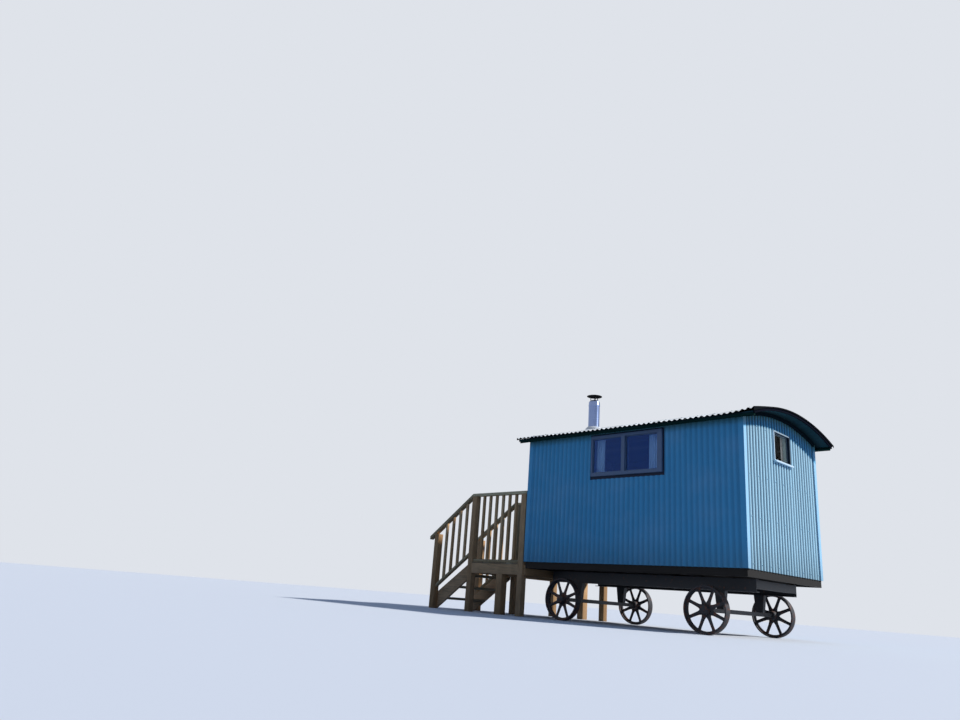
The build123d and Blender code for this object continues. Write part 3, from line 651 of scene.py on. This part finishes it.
def fluted_wall(total, sizes, place, top, hole=None):
    """Corrugated wall: the lapped section carried upright from the foot to the top line, open where
    the hole is. Place turns distance along, height of the section and level into points."""
    parts = []
    for u, height, tint in lapped(total, sizes, hole[:2] if hole else ()):
        levels, keep = [SHEET_BOTTOM + 0 * u, top(u)], None
        if hole:
            levels[1:1] = [hole[2] + 0 * u, hole[3] + 0 * u]
            middle = (u[1:] + u[:-1]) / 2
            keep = np.ones((3, len(u) - 1), bool)
            keep[1] = (middle < hole[0]) | (middle > hole[1])
            if hole[2] <= SHEET_BOTTOM:
                levels[:2], keep = levels[:1], keep[1:]
        z = np.array(levels)
        parts.append(grid(stacked(*place(u, height, z)), stacked(u, z), tint, keep=keep, flip=True))
    return parts


def screw_head(radius):
    """Domed washer with a hexagon head, turned from a profile of radii and heights."""
    washer = [(0, 0), (radius, 0), (0.9 * radius, 0.14 * radius), (0.52 * radius, 0.2 * radius)]
    head = [(0.5 * radius, 0.6 * radius), (0.4 * radius, 0.66 * radius), (0, 0.68 * radius)]
    return turned(washer + head, steps=6)


def screw_grid(total, sizes, rows, shift=0.0):
    """Distances along and rows of the screws, which stand on every third crest of sheets whose wave
    is moved along by the shift, in pitches."""
    count, step = flutes(total, sizes.flute_pitch)
    crests = step * (np.arange(1, count, SCREWED_FLUTES) + 0.5 - shift)
    return [a.ravel() for a in np.meshgrid(crests, rows)]


def curled(x, y):
    """Rise of the roof's corners, which the wind has bent up: greatest at each corner, most at the
    near one of the window end, and down to nothing as a power of the distance along each edge."""
    along = np.clip(1 - (roof_high.x - x) / CURL_RUN, 0, 1)
    near = np.clip(1 - (y - roof_low.y) / CURL_WIDTH, 0, 1)
    far = np.clip(1 - (roof_high.y - y) / FAR_CURL_WIDTH, 0, 1)
    door_end = np.clip(1 - (x - roof_low.x) / DOOR_CURL_RUN, 0, 1)
    return CURL_RISE * (along**1.5 * (near**2 + 0.4 * far**1.5) + 0.5 * door_end * near**2)


class HutRoof(bpy.types.Operator):
    """Arched roof of lapped corrugated sheets with a crest at each verge, screwed through crests"""

    bl_idname = "hut.roof"
    bl_label = "Roof sheets"

    def execute(self, context):
        sizes = context.scene.hut_sizes
        total = roof_high.x - roof_low.x
        ends = roof_low.x + SHEET_INSET, roof_high.x - SHEET_INSET
        angle = np.linspace(-EAVE_ANGLE, EAVE_ANGLE, 49)
        parts = []
        for u, height, tint in lapped(total, sizes, samples=10, shift=0.5):
            radius = CREST_RADIUS - FLUTE_DEPTH + height
            x, y = np.clip(roof_low.x + u, *ends), radius * np.sin(angle[:, None])
            points = stacked(x, y, ROOF_AXIS_Z + radius * np.cos(angle[:, None]) + curled(x, y))
            parts.append(grid(points, plain_uv(angle * CREST_RADIUS, u), tint, flip=True))
        sheets = build("roof_sheets", parts, "roof", ["roof_sheet"], gauge=SHEET_GAUGE)
        # The sheets' inner faces and rims take the near-black painted shade.
        sheets.data.materials.append(made["shaded_underside"])
        sheets.modifiers["Gauge"].material_offset = 1
        sheets.modifiers["Gauge"].material_offset_rim = 1
        # Each end's edge is turned down to the edge board, as far as the corners are bent up.
        y = CREST_RADIUS * np.sin(angle)
        crest = ROOF_AXIS_Z + CREST_RADIUS * np.cos(angle)
        lips = [grid(stacked(face, [y, y], [crest + curled(face, y), crest - VERGE_LIP]),
                     plain_uv([VERGE_LIP, 0], y), flip=flip) for face, flip in zip(ends, (True, False))]
        # The verge lips take the same near-black painted shade.
        build("roof_verge_lips", lips, "shaded_underside", gauge=SHEET_GAUGE)
        x, share = screw_grid(total, sizes, ROOF_SCREW_ROWS, 0.5)
        x, out = roof_low.x + x, stacked(0, np.sin(EAVE_ANGLE * share), np.cos(EAVE_ANGLE * share))
        lift = curled(x, out[:, 1] * CREST_RADIUS)
        places = out * (CREST_RADIUS - SCREW_SINK) + stacked(x, 0, ROOF_AXIS_Z + lift)
        heads = scattered(screw_head(sizes.screw_radius), places, facing(out))
        build("roof_screws", [heads], "screw", weld=True)
        # The roof boards take the dark teal painted shade.
        dress("shaded_soffit", "roof_boards")
        dress("edge", "end_fascias")
        # The end wall trims take the painted corner shade.
        dress("trim", "end_wall_trims")
        # The eave battens take the dark green-grey painted shade.
        dress("batten", "eave_battens")
        return {"FINISHED"}


class HutWalls(bpy.types.Operator):
    """Corrugated walls with their window and door openings, corner flashings and screws"""

    bl_idname = "hut.walls"
    bl_label = "Wall sheets"

    def execute(self, context):
        sizes = context.scene.hut_sizes
        long, wide = FRAME_END - FRAME_START, 2 * FRAME_HALF
        low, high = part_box("side_window_frame")
        gap = 0.020
        side_hole = (low.x - FRAME_START - gap, high.x - FRAME_START + gap, low.z - 2 * gap, high.z + gap)
        low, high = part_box("end_window_glass")
        rim = 0.017
        end_hole = (low.y - rim + FRAME_HALF, high.y + rim + FRAME_HALF, low.z - rim, high.z + rim)
        low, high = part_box("door_frame")
        door_hole = (low.y + FRAME_HALF, high.y + FRAME_HALF, SHEET_BOTTOM - 0.01, high.z)

        def level(u):
            return SHEET_TOP + 0 * u

        def curved(u):
            """Level of the end sheets' curved top edge, just under the roof boards."""
            return ROOF_AXIS_Z + np.sqrt((SOFFIT_RADIUS - 0.002) ** 2 - (u - FRAME_HALF) ** 2)

        walls = (
            ("window_side", "wall", long, level, side_hole,
             lambda u, v, z: (FRAME_START + u, -FRAME_HALF - v, z)),
            ("plain_side", "wall", long, level, None, lambda u, v, z: (FRAME_END - u, FRAME_HALF + v, z)),
            # The window end takes the paint with painted sunlight and the overhang's painted shadow.
            ("window_end", "end", wide, curved, end_hole, lambda u, v, z: (FRAME_END + v, u - FRAME_HALF, z)),
            ("door_end", "wall", wide, curved, door_hole,
             lambda u, v, z: (FRAME_START - v, FRAME_HALF - u, z)),
        )
        head = screw_head(0.8 * sizes.screw_radius)
        clear = 0.03
        for name, paint, total, top, hole, place in walls:
            build(f"{name}_sheets", fluted_wall(total, sizes, place, top, hole), paint,
                  [f"{name}_cladding"], gauge=SHEET_GAUGE)
            u, z = screw_grid(total, sizes, WALL_SCREW_ROWS)
            if hole:
                left, right, foot, lintel = hole
                sound = (u < left - clear) | (u > right + clear) | (z < foot - clear) | (z > lintel + clear)
                u, z = u[sound], z[sound]
            out = np.array(place(0, 1, 0)) - np.array(place(0, 0, 0))
            heads = scattered(head, stacked(*place(u, FLUTE_DEPTH - SCREW_SINK, z)),
                              facing(np.tile(out, (len(u), 1))))
            build(f"{name}_screws", [heads], paint, weld=True)
        dress("corner", "corner_flashings")
        return {"FINISHED"}


class HutRoom(bpy.types.Operator):
    """Lining, ceiling and floor of the room, as far as they show through the windows"""

    bl_idname = "hut.room"
    bl_label = "Room"

    def execute(self, context):
        dress("lining", "window_side_panel", "plain_side_panel", "door_end_panel", "window_end_panel")
        dress("ceiling", "ceiling_vault")
        dress("floor", "floor_boards")
        dress("underfloor", "floor_frame")
        return {"FINISHED"}


class HutWindows(bpy.types.Operator):
    """Painted window frames, sashes and glass"""

    bl_idname = "hut.windows"
    bl_label = "Windows"

    def execute(self, context):
        dress("window", "side_window_frame", "side_window_sashes", soft=0.0015)
        dress("glass", "side_window_glass")
        dress("end_window", "end_window_frame", soft=0.001)
        dress("end_glass", "end_window_glass")
        low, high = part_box("end_window_glass")
        broad, deep = 0.008, 0.01
        x, inset = high.x + deep / 2, broad / 2
        beads = [bar((x, y, low.z), (x, y, high.z), broad, deep, soft=0.002)
                 for y in (low.y + inset, high.y - inset)]
        beads += [bar((x, low.y + broad, z), (x, high.y - broad, z), deep, broad, (1, 0, 0), soft=0.002)
                  for z in (low.z + inset, high.z - inset)]
        build("end_window_beads", beads, "bead")
        return {"FINISHED"}


def gathered(start, along, across, width, top, foot, folds, deep, seed):
    """Curtain gathered on a rod. Its line in plan is a sine with a smaller second one, folds times
    across the width; the folds are shallow and close under the rod and deepen and drift on the way
    down. Returns its part and its flat width, the length of the line at half height."""
    u = np.linspace(0, 1, folds * 16 + 1)[None]
    v = np.linspace(0, 1, 41)[:, None]
    phase = np.random.default_rng(seed).uniform(0, 6.28, 3)
    swing = 2 * np.pi * folds * u + 0.25 * v * np.sin(3 * u + phase[0])
    fold = deep * (0.55 + 0.45 * np.sqrt(v)) * (np.sin(swing) + 0.22 * np.sin(2 * swing + phase[1]))
    run = width * (u + 0.012 * np.sin(2 * swing + phase[2]) * v)
    z = top + (foot - top) * v + 0.002 * np.sin(swing) * v
    points = (np.asarray(start) + run[..., None] * np.asarray(along) + fold[..., None] * np.asarray(across)
              + z[..., None] * np.array([0, 0, 1.0]))
    line = np.linalg.norm(np.diff(points[20], axis=0), axis=1)
    return grid(points, plain_uv(v[:, 0] * (top - foot), np.append(0, np.cumsum(line)))), float(line.sum())


class HutCurtains(bpy.types.Operator):
    """Gathered cotton curtains at the sides of both windows, on their rods"""

    bl_idname = "hut.curtains"
    bl_label = "Curtains"

    def execute(self, context):
        low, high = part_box("side_curtains")
        deep = (high.y - low.y) / 2 - 0.004
        for name, node, start, way, width, folds in (
            ("side_left_curtain", "side_curtains", 0, (1, 0, 0), 0.228, 6),
            ("side_right_curtain", "side_curtains", 1, (-1, 0, 0), 0.342, 9),
            ("end_near_curtain", "end_curtains", 0, (0, 1, 0), 0.114, 3),
            ("end_far_curtain", "end_curtains", 1, (0, -1, 0), 0.114, 3),
        ):
            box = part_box(node)
            low, high = box
            along, across = np.abs(way), np.abs(way)[[1, 0, 2]]
            place = along * np.array(box[start]) + across * (np.array(low) + np.array(high)) / 2
            part, flat = gathered(place, way, across, width, high.z - 0.001, low.z, folds, deep, len(name))
            cloth = build(name, [part], "cotton", [node], sharp=80)
            thick = cloth.modifiers.new("Cloth", "SOLIDIFY")
            thick.thickness, thick.offset = 0.0008, 0
        dress("rod", "curtain_rods")
        return {"FINISHED"}


class HutDoor(bpy.types.Operator):
    """Boarded stable door in two leaves, with strap hinges and a ring latch, in its frame"""

    bl_idname = "hut.door"
    bl_label = "Stable door"

    def execute(self, context):
        sizes = context.scene.hut_sizes
        low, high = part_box("stable_door")
        count = max(1, round((high.y - low.y) / sizes.door_board))
        step = (high.y - low.y) / count
        face, split, slit, inset = 0.022, 0.95, 0.0005, 0.12
        ledge = high.x - low.x - face
        x, back, strap = low.x + face / 2, low.x + face + ledge / 2, low.x - 0.0022
        up, out = (0, 0, 1), np.array([[-1.0, 0, 0]])
        boards, straps, pins = [], [], []
        for foot, head in ((low.z, low.z + split), (low.z + split + slit, high.z)):
            for y in low.y + step * (np.arange(count) + 0.5):
                boards.append(bar((x, y, foot), (x, y, head), step - 0.0006, face))
            for z in (foot + inset, head - inset):
                boards.append(bar((back, low.y + 0.03, z), (back, high.y - 0.03, z), 0.11, ledge, up))
                straps.append(bar((strap, high.y - 0.01, z), (strap, low.y + 0.28, z), 0.034, 0.0045, up,
                                  soft=0.001))
                pin = [(0, -0.03), (0.007, -0.03), (0.007, 0.03), (0, 0.03)]
                pins.append(turned(pin, (strap - 0.002, high.y + 0.001, z), steps=12))
                bolts = [(strap - 0.002, high.y - away, z) for away in (0.05, 0.17, 0.29)]
                pins.append(scattered(screw_head(0.007), bolts, facing(np.tile(out, (3, 1)))))
        y, z = low.y + 0.07, low.z + 0.84
        plate = turned([(0, 0), (0.028, 0), (0.026, 0.004), (0, 0.004)], steps=24)
        pins.append(scattered(plate, [(low.x, y, z)], facing(out)))
        # The latch's ring: a torus, closed on itself both ways.
        angle = np.linspace(0, 2 * np.pi, 28, endpoint=False)[:, None]
        tube = np.linspace(0, 2 * np.pi, 9)[None, :-1]
        thin = 0.0035
        radius = 0.024 + thin * np.cos(tube)
        ring = stacked(low.x - 0.008 + thin * np.sin(tube), y + radius * np.sin(angle),
                       z - 0.022 + radius * np.cos(angle))
        ring = np.concatenate([ring, ring[:1]])
        pins.append(grid(ring, plain_uv(np.arange(29) * 0.005, np.arange(9) * 0.003), closed=True))
        build("stable_door_boards", boards, "door", ["stable_door"])
        build("door_ironmongery", straps + pins, "ironmongery", weld=True)
        dress("door", "door_frame", soft=0.002)
        return {"FINISHED"}


class HutFlue(bpy.types.Operator):
    """Stainless flue with its domed cowl, strapped cap and aluminium flashing boot"""

    bl_idname = "hut.flue"
    bl_label = "Flue"

    def execute(self, context):
        low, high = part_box("flue_pipe")
        centre = np.array(((low.x + high.x) / 2, (low.y + high.y) / 2, 0))
        outer = (high.x - low.x) / 2
        bore, neck, dome_rise = 0.0575, 0.039, 0.046
        shoulder = high.z - dome_rise
        seam = outer + 0.0025
        pipe = [(bore, low.z), (outer, low.z), (outer, shoulder - 0.05), (seam, shoulder - 0.046),
                (seam, shoulder - 0.022), (outer, shoulder - 0.018), (outer, shoulder), (bore, shoulder),
                (bore, low.z)]
        bend = np.radians(np.linspace(0, 90, 9))
        dome = np.stack([neck + (outer - neck) * np.cos(bend), shoulder + dome_rise * np.sin(bend)], -1)
        cowl = np.concatenate([dome, dome[::-1] - (0.002, 0.002), dome[:1]])
        build("flue_body", [turned(pipe, centre)], "flue", ["flue_pipe"], weld=True)
        build("flue_cowl", [turned(cowl, centre)], "cowl", weld=True)

        cap_low, cap_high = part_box("flue_cap")
        rim, top = (cap_high.x - cap_low.x) / 2, cap_high.z
        under = top - 0.014
        cap = [(0, top), (0.3 * rim, top - 0.002), (0.95 * rim, under + 0.0035), (rim, under + 0.002),
               (rim - 0.0005, under + 0.0002), (0.93 * rim, under), (0.3 * rim, under + 0.007),
               (0, under + 0.008)]
        pieces = [turned(cap, centre)]
        broad, thin, ring = 0.018, 0.004, 0.059
        for turn in np.radians([0, 120, 240]):
            out = np.array([math.cos(turn), math.sin(turn), 0])
            place = centre + ring * out
            pieces.append(bar(place + (0, 0, shoulder + 0.02), place + (0, 0, under + thin), broad, thin,
                              np.cross(out, (0, 0, 1)), soft=0.001))
        build("flue_cap_steel", pieces, "cap", ["flue_cap"], weld=True)

        boot_low, boot_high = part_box("flue_boot")
        level = ROOF_AXIS_Z + math.sqrt(CREST_RADIUS**2 - centre[1] ** 2)
        top, skirt, close = boot_high.z, 0.122, outer + 0.0004
        cone = [(skirt, level - 0.05), (skirt, level + 0.003), (skirt - 0.005, level + 0.007),
                (outer + 0.012, top - 0.003), (outer + 0.004, top - 0.001), (close, top),
                (close, level - 0.05), (skirt, level - 0.05)]
        # The boot's base lies on the flutes at its rim and rises to their crests round the pipe.
        step = flutes(roof_high.x - roof_low.x, context.scene.hut_sizes.flute_pitch)[1]
        half = (boot_high.x - boot_low.x) / 2
        spread = np.linspace(-half, half, 61)
        x = centre[0] + spread[None]
        tilt = math.asin(centre[1] / CREST_RADIUS) + spread[:, None] / CREST_RADIUS
        away = np.hypot(x - centre[0], (tilt - tilt[30]) * CREST_RADIUS)
        rise_start, rise_run, hole = 0.165, 0.035, 0.105
        near = np.clip((rise_start - away) / rise_run, 0, 1)
        flat = near * near * (3 - 2 * near)
        height = wave(x - roof_low.x + step / 2, step) * (1 - flat) + FLUTE_DEPTH * flat + 0.0022
        radius = CREST_RADIUS - FLUTE_DEPTH + height
        points = stacked(x, radius * np.sin(tilt), ROOF_AXIS_Z + radius * np.cos(tilt))
        clear = (away[1:, 1:] + away[:-1, :-1]) / 2 > hole
        base = grid(points, plain_uv(spread + half, spread + half), keep=clear, flip=True)
        build("flue_boot_base", [base], "flashing", ["flue_boot"], gauge=0.002)
        build("flue_boot_cone", [turned(cone, centre)], "flashing", weld=True)
        return {"FINISHED"}


# Landing and stair
def spaced(start, end, pitch):
    """Middles of bars spaced evenly between two ends, near the given pitch, as in the frame."""
    count = max(1, round(abs(end - start) / pitch) - 1)
    return start + (end - start) / (count + 1) * np.arange(1, count + 1)


def balustrade(node, sizes, handrail, foot_rail, uprights, side=(0, 1, 0), cut=None,
               upright_cut=None):
    """A handrail, a foot rail and square balusters, each given by its two ends. The rails' ends lie
    square to cut, and the balusters' to upright_cut."""
    rails = [bar(*handrail, *HANDRAIL, side, cut, soft=0.006), bar(*foot_rail, *FOOT_RAIL, side, cut)]
    bars = [bar(*ends, sizes.baluster, sizes.baluster, cut=upright_cut) for ends in uprights]
    build(f"{node}_rails", rails, "rail", [node])
    build(f"{node}_bars", bars, "baluster")


class HutLanding(bpy.types.Operator):
    """Landing: posts, joists, deck boards and three level balustrades"""

    bl_idname = "hut.landing"
    bl_label = "Landing"

    def execute(self, context):
        sizes = context.scene.hut_sizes
        deck_low, deck_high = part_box("landing_deck")
        joist_low, joist_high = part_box("landing_joists")
        rail_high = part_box("near_balustrade")[1]
        half = deck_high.y
        post_y = half - POST / 2
        edge_x, wall_x = deck_low.x + POST / 2, rail_high.x - POST / 2
        edge_in, wall_out = edge_x + POST / 2, wall_x - POST / 2
        rail_foot = rail_high.z - HANDRAIL[1]
        posts = [bar((x, y, 0), (x, y, rail_foot), POST, POST) for x, y in
                 ((wall_x, -post_y), (wall_x, post_y), (edge_x, -post_y), (edge_x, 0), (edge_x, post_y))]
        x = FRAME_START - FLUTE_DEPTH - SUPPORT_OFFSET
        for y in (SUPPORT / 2 - half, half - SUPPORT / 2):
            posts.append(bar((x, y, 0), (x, y, joist_low.z), SUPPORT, SUPPORT))
        build("landing_post_timber", posts, "post", ["landing_posts"])

        z, tall = (joist_low.z + joist_high.z) / 2, joist_high.z - joist_low.z
        beams = []

        def beam(x0, y0, x1, y1, side=(0, 1, 0)):
            beams.append(bar((x0, y0, z), (x1, y1, z), JOIST, tall, side))

        rim_x, ledger_x = deck_low.x + JOIST / 2, joist_high.x - JOIST / 2
        for side in (-1, 1):
            beam(edge_in, side * (half - JOIST / 2), wall_out, side * (half - JOIST / 2))
            beam(rim_x, side * POST / 2, rim_x, side * (half - POST), (1, 0, 0))
        beam(ledger_x, -FRAME_HALF, ledger_x, FRAME_HALF, (1, 0, 0))
        for y in np.linspace(POST - half, half - POST, 6)[1:5]:
            beam(deck_low.x + JOIST + JOINT, y, ledger_x - JOIST / 2 - JOINT, y)
        build("landing_joist_timber", beams, "post", ["landing_joists"])

        level, thick = (deck_high.z + deck_low.z) / 2, deck_high.z - deck_low.z
        boards = []

        def board(x0, x1, y0, y1):
            x = (x0 + x1) / 2
            boards.append(bar((x, y0, level), (x, y1, level), x1 - x0 - sizes.deck_gap, thick, (1, 0, 0),
                              soft=0.004))

        board(deck_low.x, edge_in, POST - half, -POST / 2)
        board(deck_low.x, edge_in, POST / 2, half - POST)
        count = round((wall_out - edge_in) / DECK_BOARD)
        step = (wall_out - edge_in) / count
        for index in range(count):
            board(edge_in + index * step, edge_in + (index + 1) * step, -half, half)
        board(wall_out, deck_high.x, POST - half, half - POST)
        build("landing_deck_boards", boards, "deck", ["landing_deck"])

        for node, y in (("near_balustrade", -post_y), ("far_balustrade", post_y)):
            low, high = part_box(node)
            top, under = high.z - HANDRAIL[1] / 2, low.z + FOOT_RAIL[1] / 2
            uprights = [((x, y, low.z + FOOT_RAIL[1]), (x, y, high.z - HANDRAIL[1]))
                        for x in spaced(edge_in, wall_out, sizes.baluster_pitch)]
            balustrade(node, sizes, ((low.x, y, top), (high.x, y, top)),
                       ((edge_in, y, under), (wall_out, y, under)), uprights)
        x, top, foot = edge_x, rail_foot + HANDRAIL[1] / 2, deck_high.z + FOOT_RAIL[1]
        under = foot - FOOT_RAIL[1] / 2
        uprights = [((x, y, foot), (x, y, rail_foot))
                    for y in spaced(POST / 2, half - POST, sizes.baluster_pitch)]
        balustrade("edge_balustrade", sizes, ((x, 0, top), (x, half - POST, top)),
                   ((x, POST / 2, under), (x, half - POST, under)), uprights, (1, 0, 0))
        return {"FINISHED"}


class HutStair(bpy.types.Operator):
    """Straight stair: strings, treads, bottom newels and two sloping balustrades"""

    bl_idname = "hut.stair"
    bl_label = "Stair"

    def execute(self, context):
        sizes = context.scene.hut_sizes
        deck_low, deck_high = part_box("landing_deck")
        newel_low, newel_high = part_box("stair_newels")
        tread_low, tread_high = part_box("stair_treads")
        fall = deck_high.z / RISERS / GOING
        slope = math.atan(fall)
        head_x = deck_low.x
        newel_x = (newel_low.x + newel_high.x) / 2
        post_y = deck_high.y - POST / 2
        thick, foot = HANDRAIL[1] / math.cos(slope), FOOT_RAIL[1] / math.cos(slope)

        def at(x, y, above):
            """Point at a height above the line of the nosings."""
            return x, y, deck_high.z + (x - head_x) * fall + above

        random.random(6)  # steps past six draws, so that the timbers below keep their tints
        newels = [bar((newel_x, y, 0), at(newel_x, y, RAIL_RISE - thick - fall * POST / 2), POST, POST)
                  for y in (-post_y, 0)]
        build("stair_newel_timber", newels, "post", ["stair_newels"])
        low_x = newel_x + POST / 2
        over, under = RAIL_RISE - thick / 2, FOOT_RAIL_LIFT + foot / 2
        for node, y in (("near_stair_balustrade", -post_y), ("inner_stair_balustrade", 0)):
            uprights = [(at(x, y, FOOT_RAIL_LIFT + foot), at(x, y, RAIL_RISE - thick))
                        for x in spaced(low_x, head_x, sizes.baluster_pitch)]
            balustrade(node, sizes, (at(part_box(node)[0].x, y, over), at(head_x, y, over)),
                       (at(low_x, y, under), at(head_x, y, under)), uprights, cut=(1, 0, 0),
                       upright_cut=(-fall, 0, 1))
        broad, thick, slit = 0.143, 0.038, 0.004
        treads = []
        for index in range(1, RISERS):
            nose = head_x - GOING * index
            z = deck_high.z * (1 - index / RISERS) - thick / 2
            for x in (nose + broad / 2, nose + slit + 1.5 * broad):
                treads.append(bar((x, tread_low.y, z), (x, tread_high.y, z), broad, thick, (1, 0, 0),
                                  soft=0.005))
        build("stair_tread_boards", treads, "deck", ["stair_treads"])
        dress("string", "stair_strings", soft=0.003)
        return {"FINISHED"}


def cast_wheel(low, high):
    """Cast wheel in a frame wheel's box: a tyre turned from a T section with fillets, a waisted hub
    turned from a smooth profile, and spokes of oval section that swell towards the hub."""
    centre = np.array((low + high) / 2)
    radius, reach, half, crown = (high.x - low.x) / 2, (high.y - low.y) / 2, 0.05, 0.003
    tyre = radius - 0.018
    rim = [(tyre, -half), (radius - crown, -half), (radius, -half + 0.012), (radius, half - 0.012),
           (radius - crown, half), (tyre, half), (tyre, 0.02), (radius - 0.024, 0.013),
           (radius - 0.036, 0.012), (radius - 0.038, 0.008)]
    rim += [(out, -side) for out, side in rim[:5:-1]] + rim[:1]
    hub = [(0.066, 0), (0.064, 0.03), (0.056, 0.05), (0.054, reach - 0.014), (0.048, reach - 0.006),
           (0.022, reach - 0.004), (0.02, reach), (0, reach)]
    hub = [(out, -side) for out, side in hub[:0:-1]] + hub
    along = np.linspace(0.055, radius - 0.03, 9)[:, None]
    around = np.linspace(0, 2 * np.pi, 13)[None, :-1]
    swell = (1 + 0.55 * np.exp(-((along - 0.06) / 0.03) ** 2)
             + 0.3 * np.exp(-((along - radius + 0.035) / 0.015) ** 2))
    points = stacked((0.026 - 0.03 * along) * swell * np.cos(around), 0.011 * swell * np.sin(around), along)
    spoke = grid(points, plain_uv(along[:, 0], np.linspace(0, 0.15, 13)), closed=True)
    turns = [np.array(Matrix.Rotation(math.radians(45 * (k + 0.5)), 3, "Y")) for k in range(8)]
    return [turned(rim, centre, "Y", 72), turned(hub, centre, "Y", 40),
            scattered(spoke, np.tile(centre, (8, 1)), np.array(turns))]


class HutWheels(bpy.types.Operator):
    """Four cast wheels, axles, bolsters and the steel chassis"""

    bl_idname = "hut.wheels"
    bl_label = "Wheels and chassis"

    def execute(self, context):
        for name in ("door_end_near", "door_end_far", "window_end_near", "window_end_far"):
            node = f"{name}_wheel"
            build(f"{node}_casting", cast_wheel(*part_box(node)), "iron", [node], weld=True)
        dress("chassis", "chassis_beams", "cross_members", "axles", "axle_bolsters", soft=0.002)
        return {"FINISHED"}


class HutStage(bpy.types.Operator):
    """Pale floor, soft lights and the camera"""

    bl_idname = "hut.stage"
    bl_label = "Stage"

    def execute(self, context):
        scene = context.scene
        scene.view_settings.view_transform = "Standard"
        look = Finish("Pale floor", Roughness=0.9)
        look.show(Base_Color=look.mix(self.looks(look.tree), "#7f93ad", "#d5d9df"))
        mesh = bpy.data.meshes.new("stage_floor")
        spread = np.array([-60.0, 60.0])
        points, faces = grid(stacked(spread[:, None], spread, 0), plain_uv(spread, spread))[:2]
        mesh.from_pydata(points.tolist(), [], faces)
        mesh.materials.append(look.material)
        floor = linked("stage_floor", mesh)
        self.light_world(scene)
        sun = bpy.data.lights.new("key", "SUN")
        sun.energy, sun.angle = 4.2, math.radians(3)
        toward = np.array([[0.638, 0.481, 0.602]])
        linked("key", sun).matrix_world = Matrix(facing(toward)[0].tolist()).to_4x4()
        self.set_camera(scene)
        return {"FINISHED"}

    def light_world(self, scene):
        """Even soft light, with a pale backdrop where the camera, mirrors and glass look out."""
        scene.world = bpy.data.worlds.new("Soft studio")
        scene.world.use_nodes = True
        tree = scene.world.node_tree
        plain = tree.nodes["Background"]
        plain.inputs["Color"].default_value = linear("#9cc0fa")
        plain.inputs["Strength"].default_value = 0.32
        pale = add_node(tree, "Background", {"Color": "#dfe3ea", "Strength": 1.0})
        either = add_node(tree, "MixShader", {0: self.looks(tree), 1: plain.outputs[0], 2: pale.outputs[0]})
        tree.links.new(either.outputs[0], tree.nodes["World Output"].inputs["Surface"])

    def looks(self, tree):
        """1 on the rays by which the camera, mirrors and glass look out, and 0 on those that light."""
        rays = add_node(tree, "LightPath").outputs
        share = rays["Is Camera Ray"]
        for kind in ("Glossy", "Transmission"):
            share = add_node(tree, "Math", {0: share, 1: rays[f"Is {kind} Ray"]},
                             operation="MAXIMUM").outputs[0]
        return share

    def set_camera(self, scene):
        """The photograph's camera: where it stood, where it looked and how it was tilted."""
        camera = bpy.data.cameras.new("photo_camera")
        camera.sensor_width, camera.lens = 36, 27.588
        matrix = Matrix.Translation((6.7184, -9.2359, 0.2248))
        for angle, axis in ((0.8166, "Z"), (math.pi / 2 + 0.3106, "X"), (0.0788, "Z")):
            matrix @= Matrix.Rotation(angle, 4, axis)
        scene.camera = linked("photo_camera", camera)
        scene.camera.matrix_world = matrix


class HutPanel(bpy.types.Panel):
    """Lists the hut's builders with its sizes and colours"""

    bl_idname = "VIEW3D_PT_hut"
    bl_label = "Shepherd's hut"
    bl_space_type = "VIEW_3D"
    bl_region_type = "UI"
    bl_category = "Hut"

    def draw(self, context):
        for operator in builders:
            self.layout.operator(operator.bl_idname)
        for group in (context.scene.hut_sizes, context.scene.hut_colours):
            for name in group.__annotations__:
                self.layout.prop(group, name)


builders = (HutStage, HutRoof, HutWalls, HutRoom, HutWindows, HutCurtains, HutDoor, HutFlue, HutLanding,
            HutStair, HutWheels)
classes = (HutSizes, HutColours, *builders, HutPanel)
made = {}


def register():
    for item in classes:
        bpy.utils.register_class(item)
    bpy.types.Scene.hut_sizes = bpy.props.PointerProperty(type=HutSizes)
    bpy.types.Scene.hut_colours = bpy.props.PointerProperty(type=HutColours)


def unregister():
    del bpy.types.Scene.hut_colours
    del bpy.types.Scene.hut_sizes
    for item in reversed(classes):
        bpy.utils.unregister_class(item)


def main():
    register()
    made.update(finishes(bpy.context.scene.hut_sizes, bpy.context.scene.hut_colours))
    for operator in builders:
        group, name = operator.bl_idname.split(".")
        getattr(getattr(bpy.ops, group), name)()


if __name__ == "__main__":
    main()
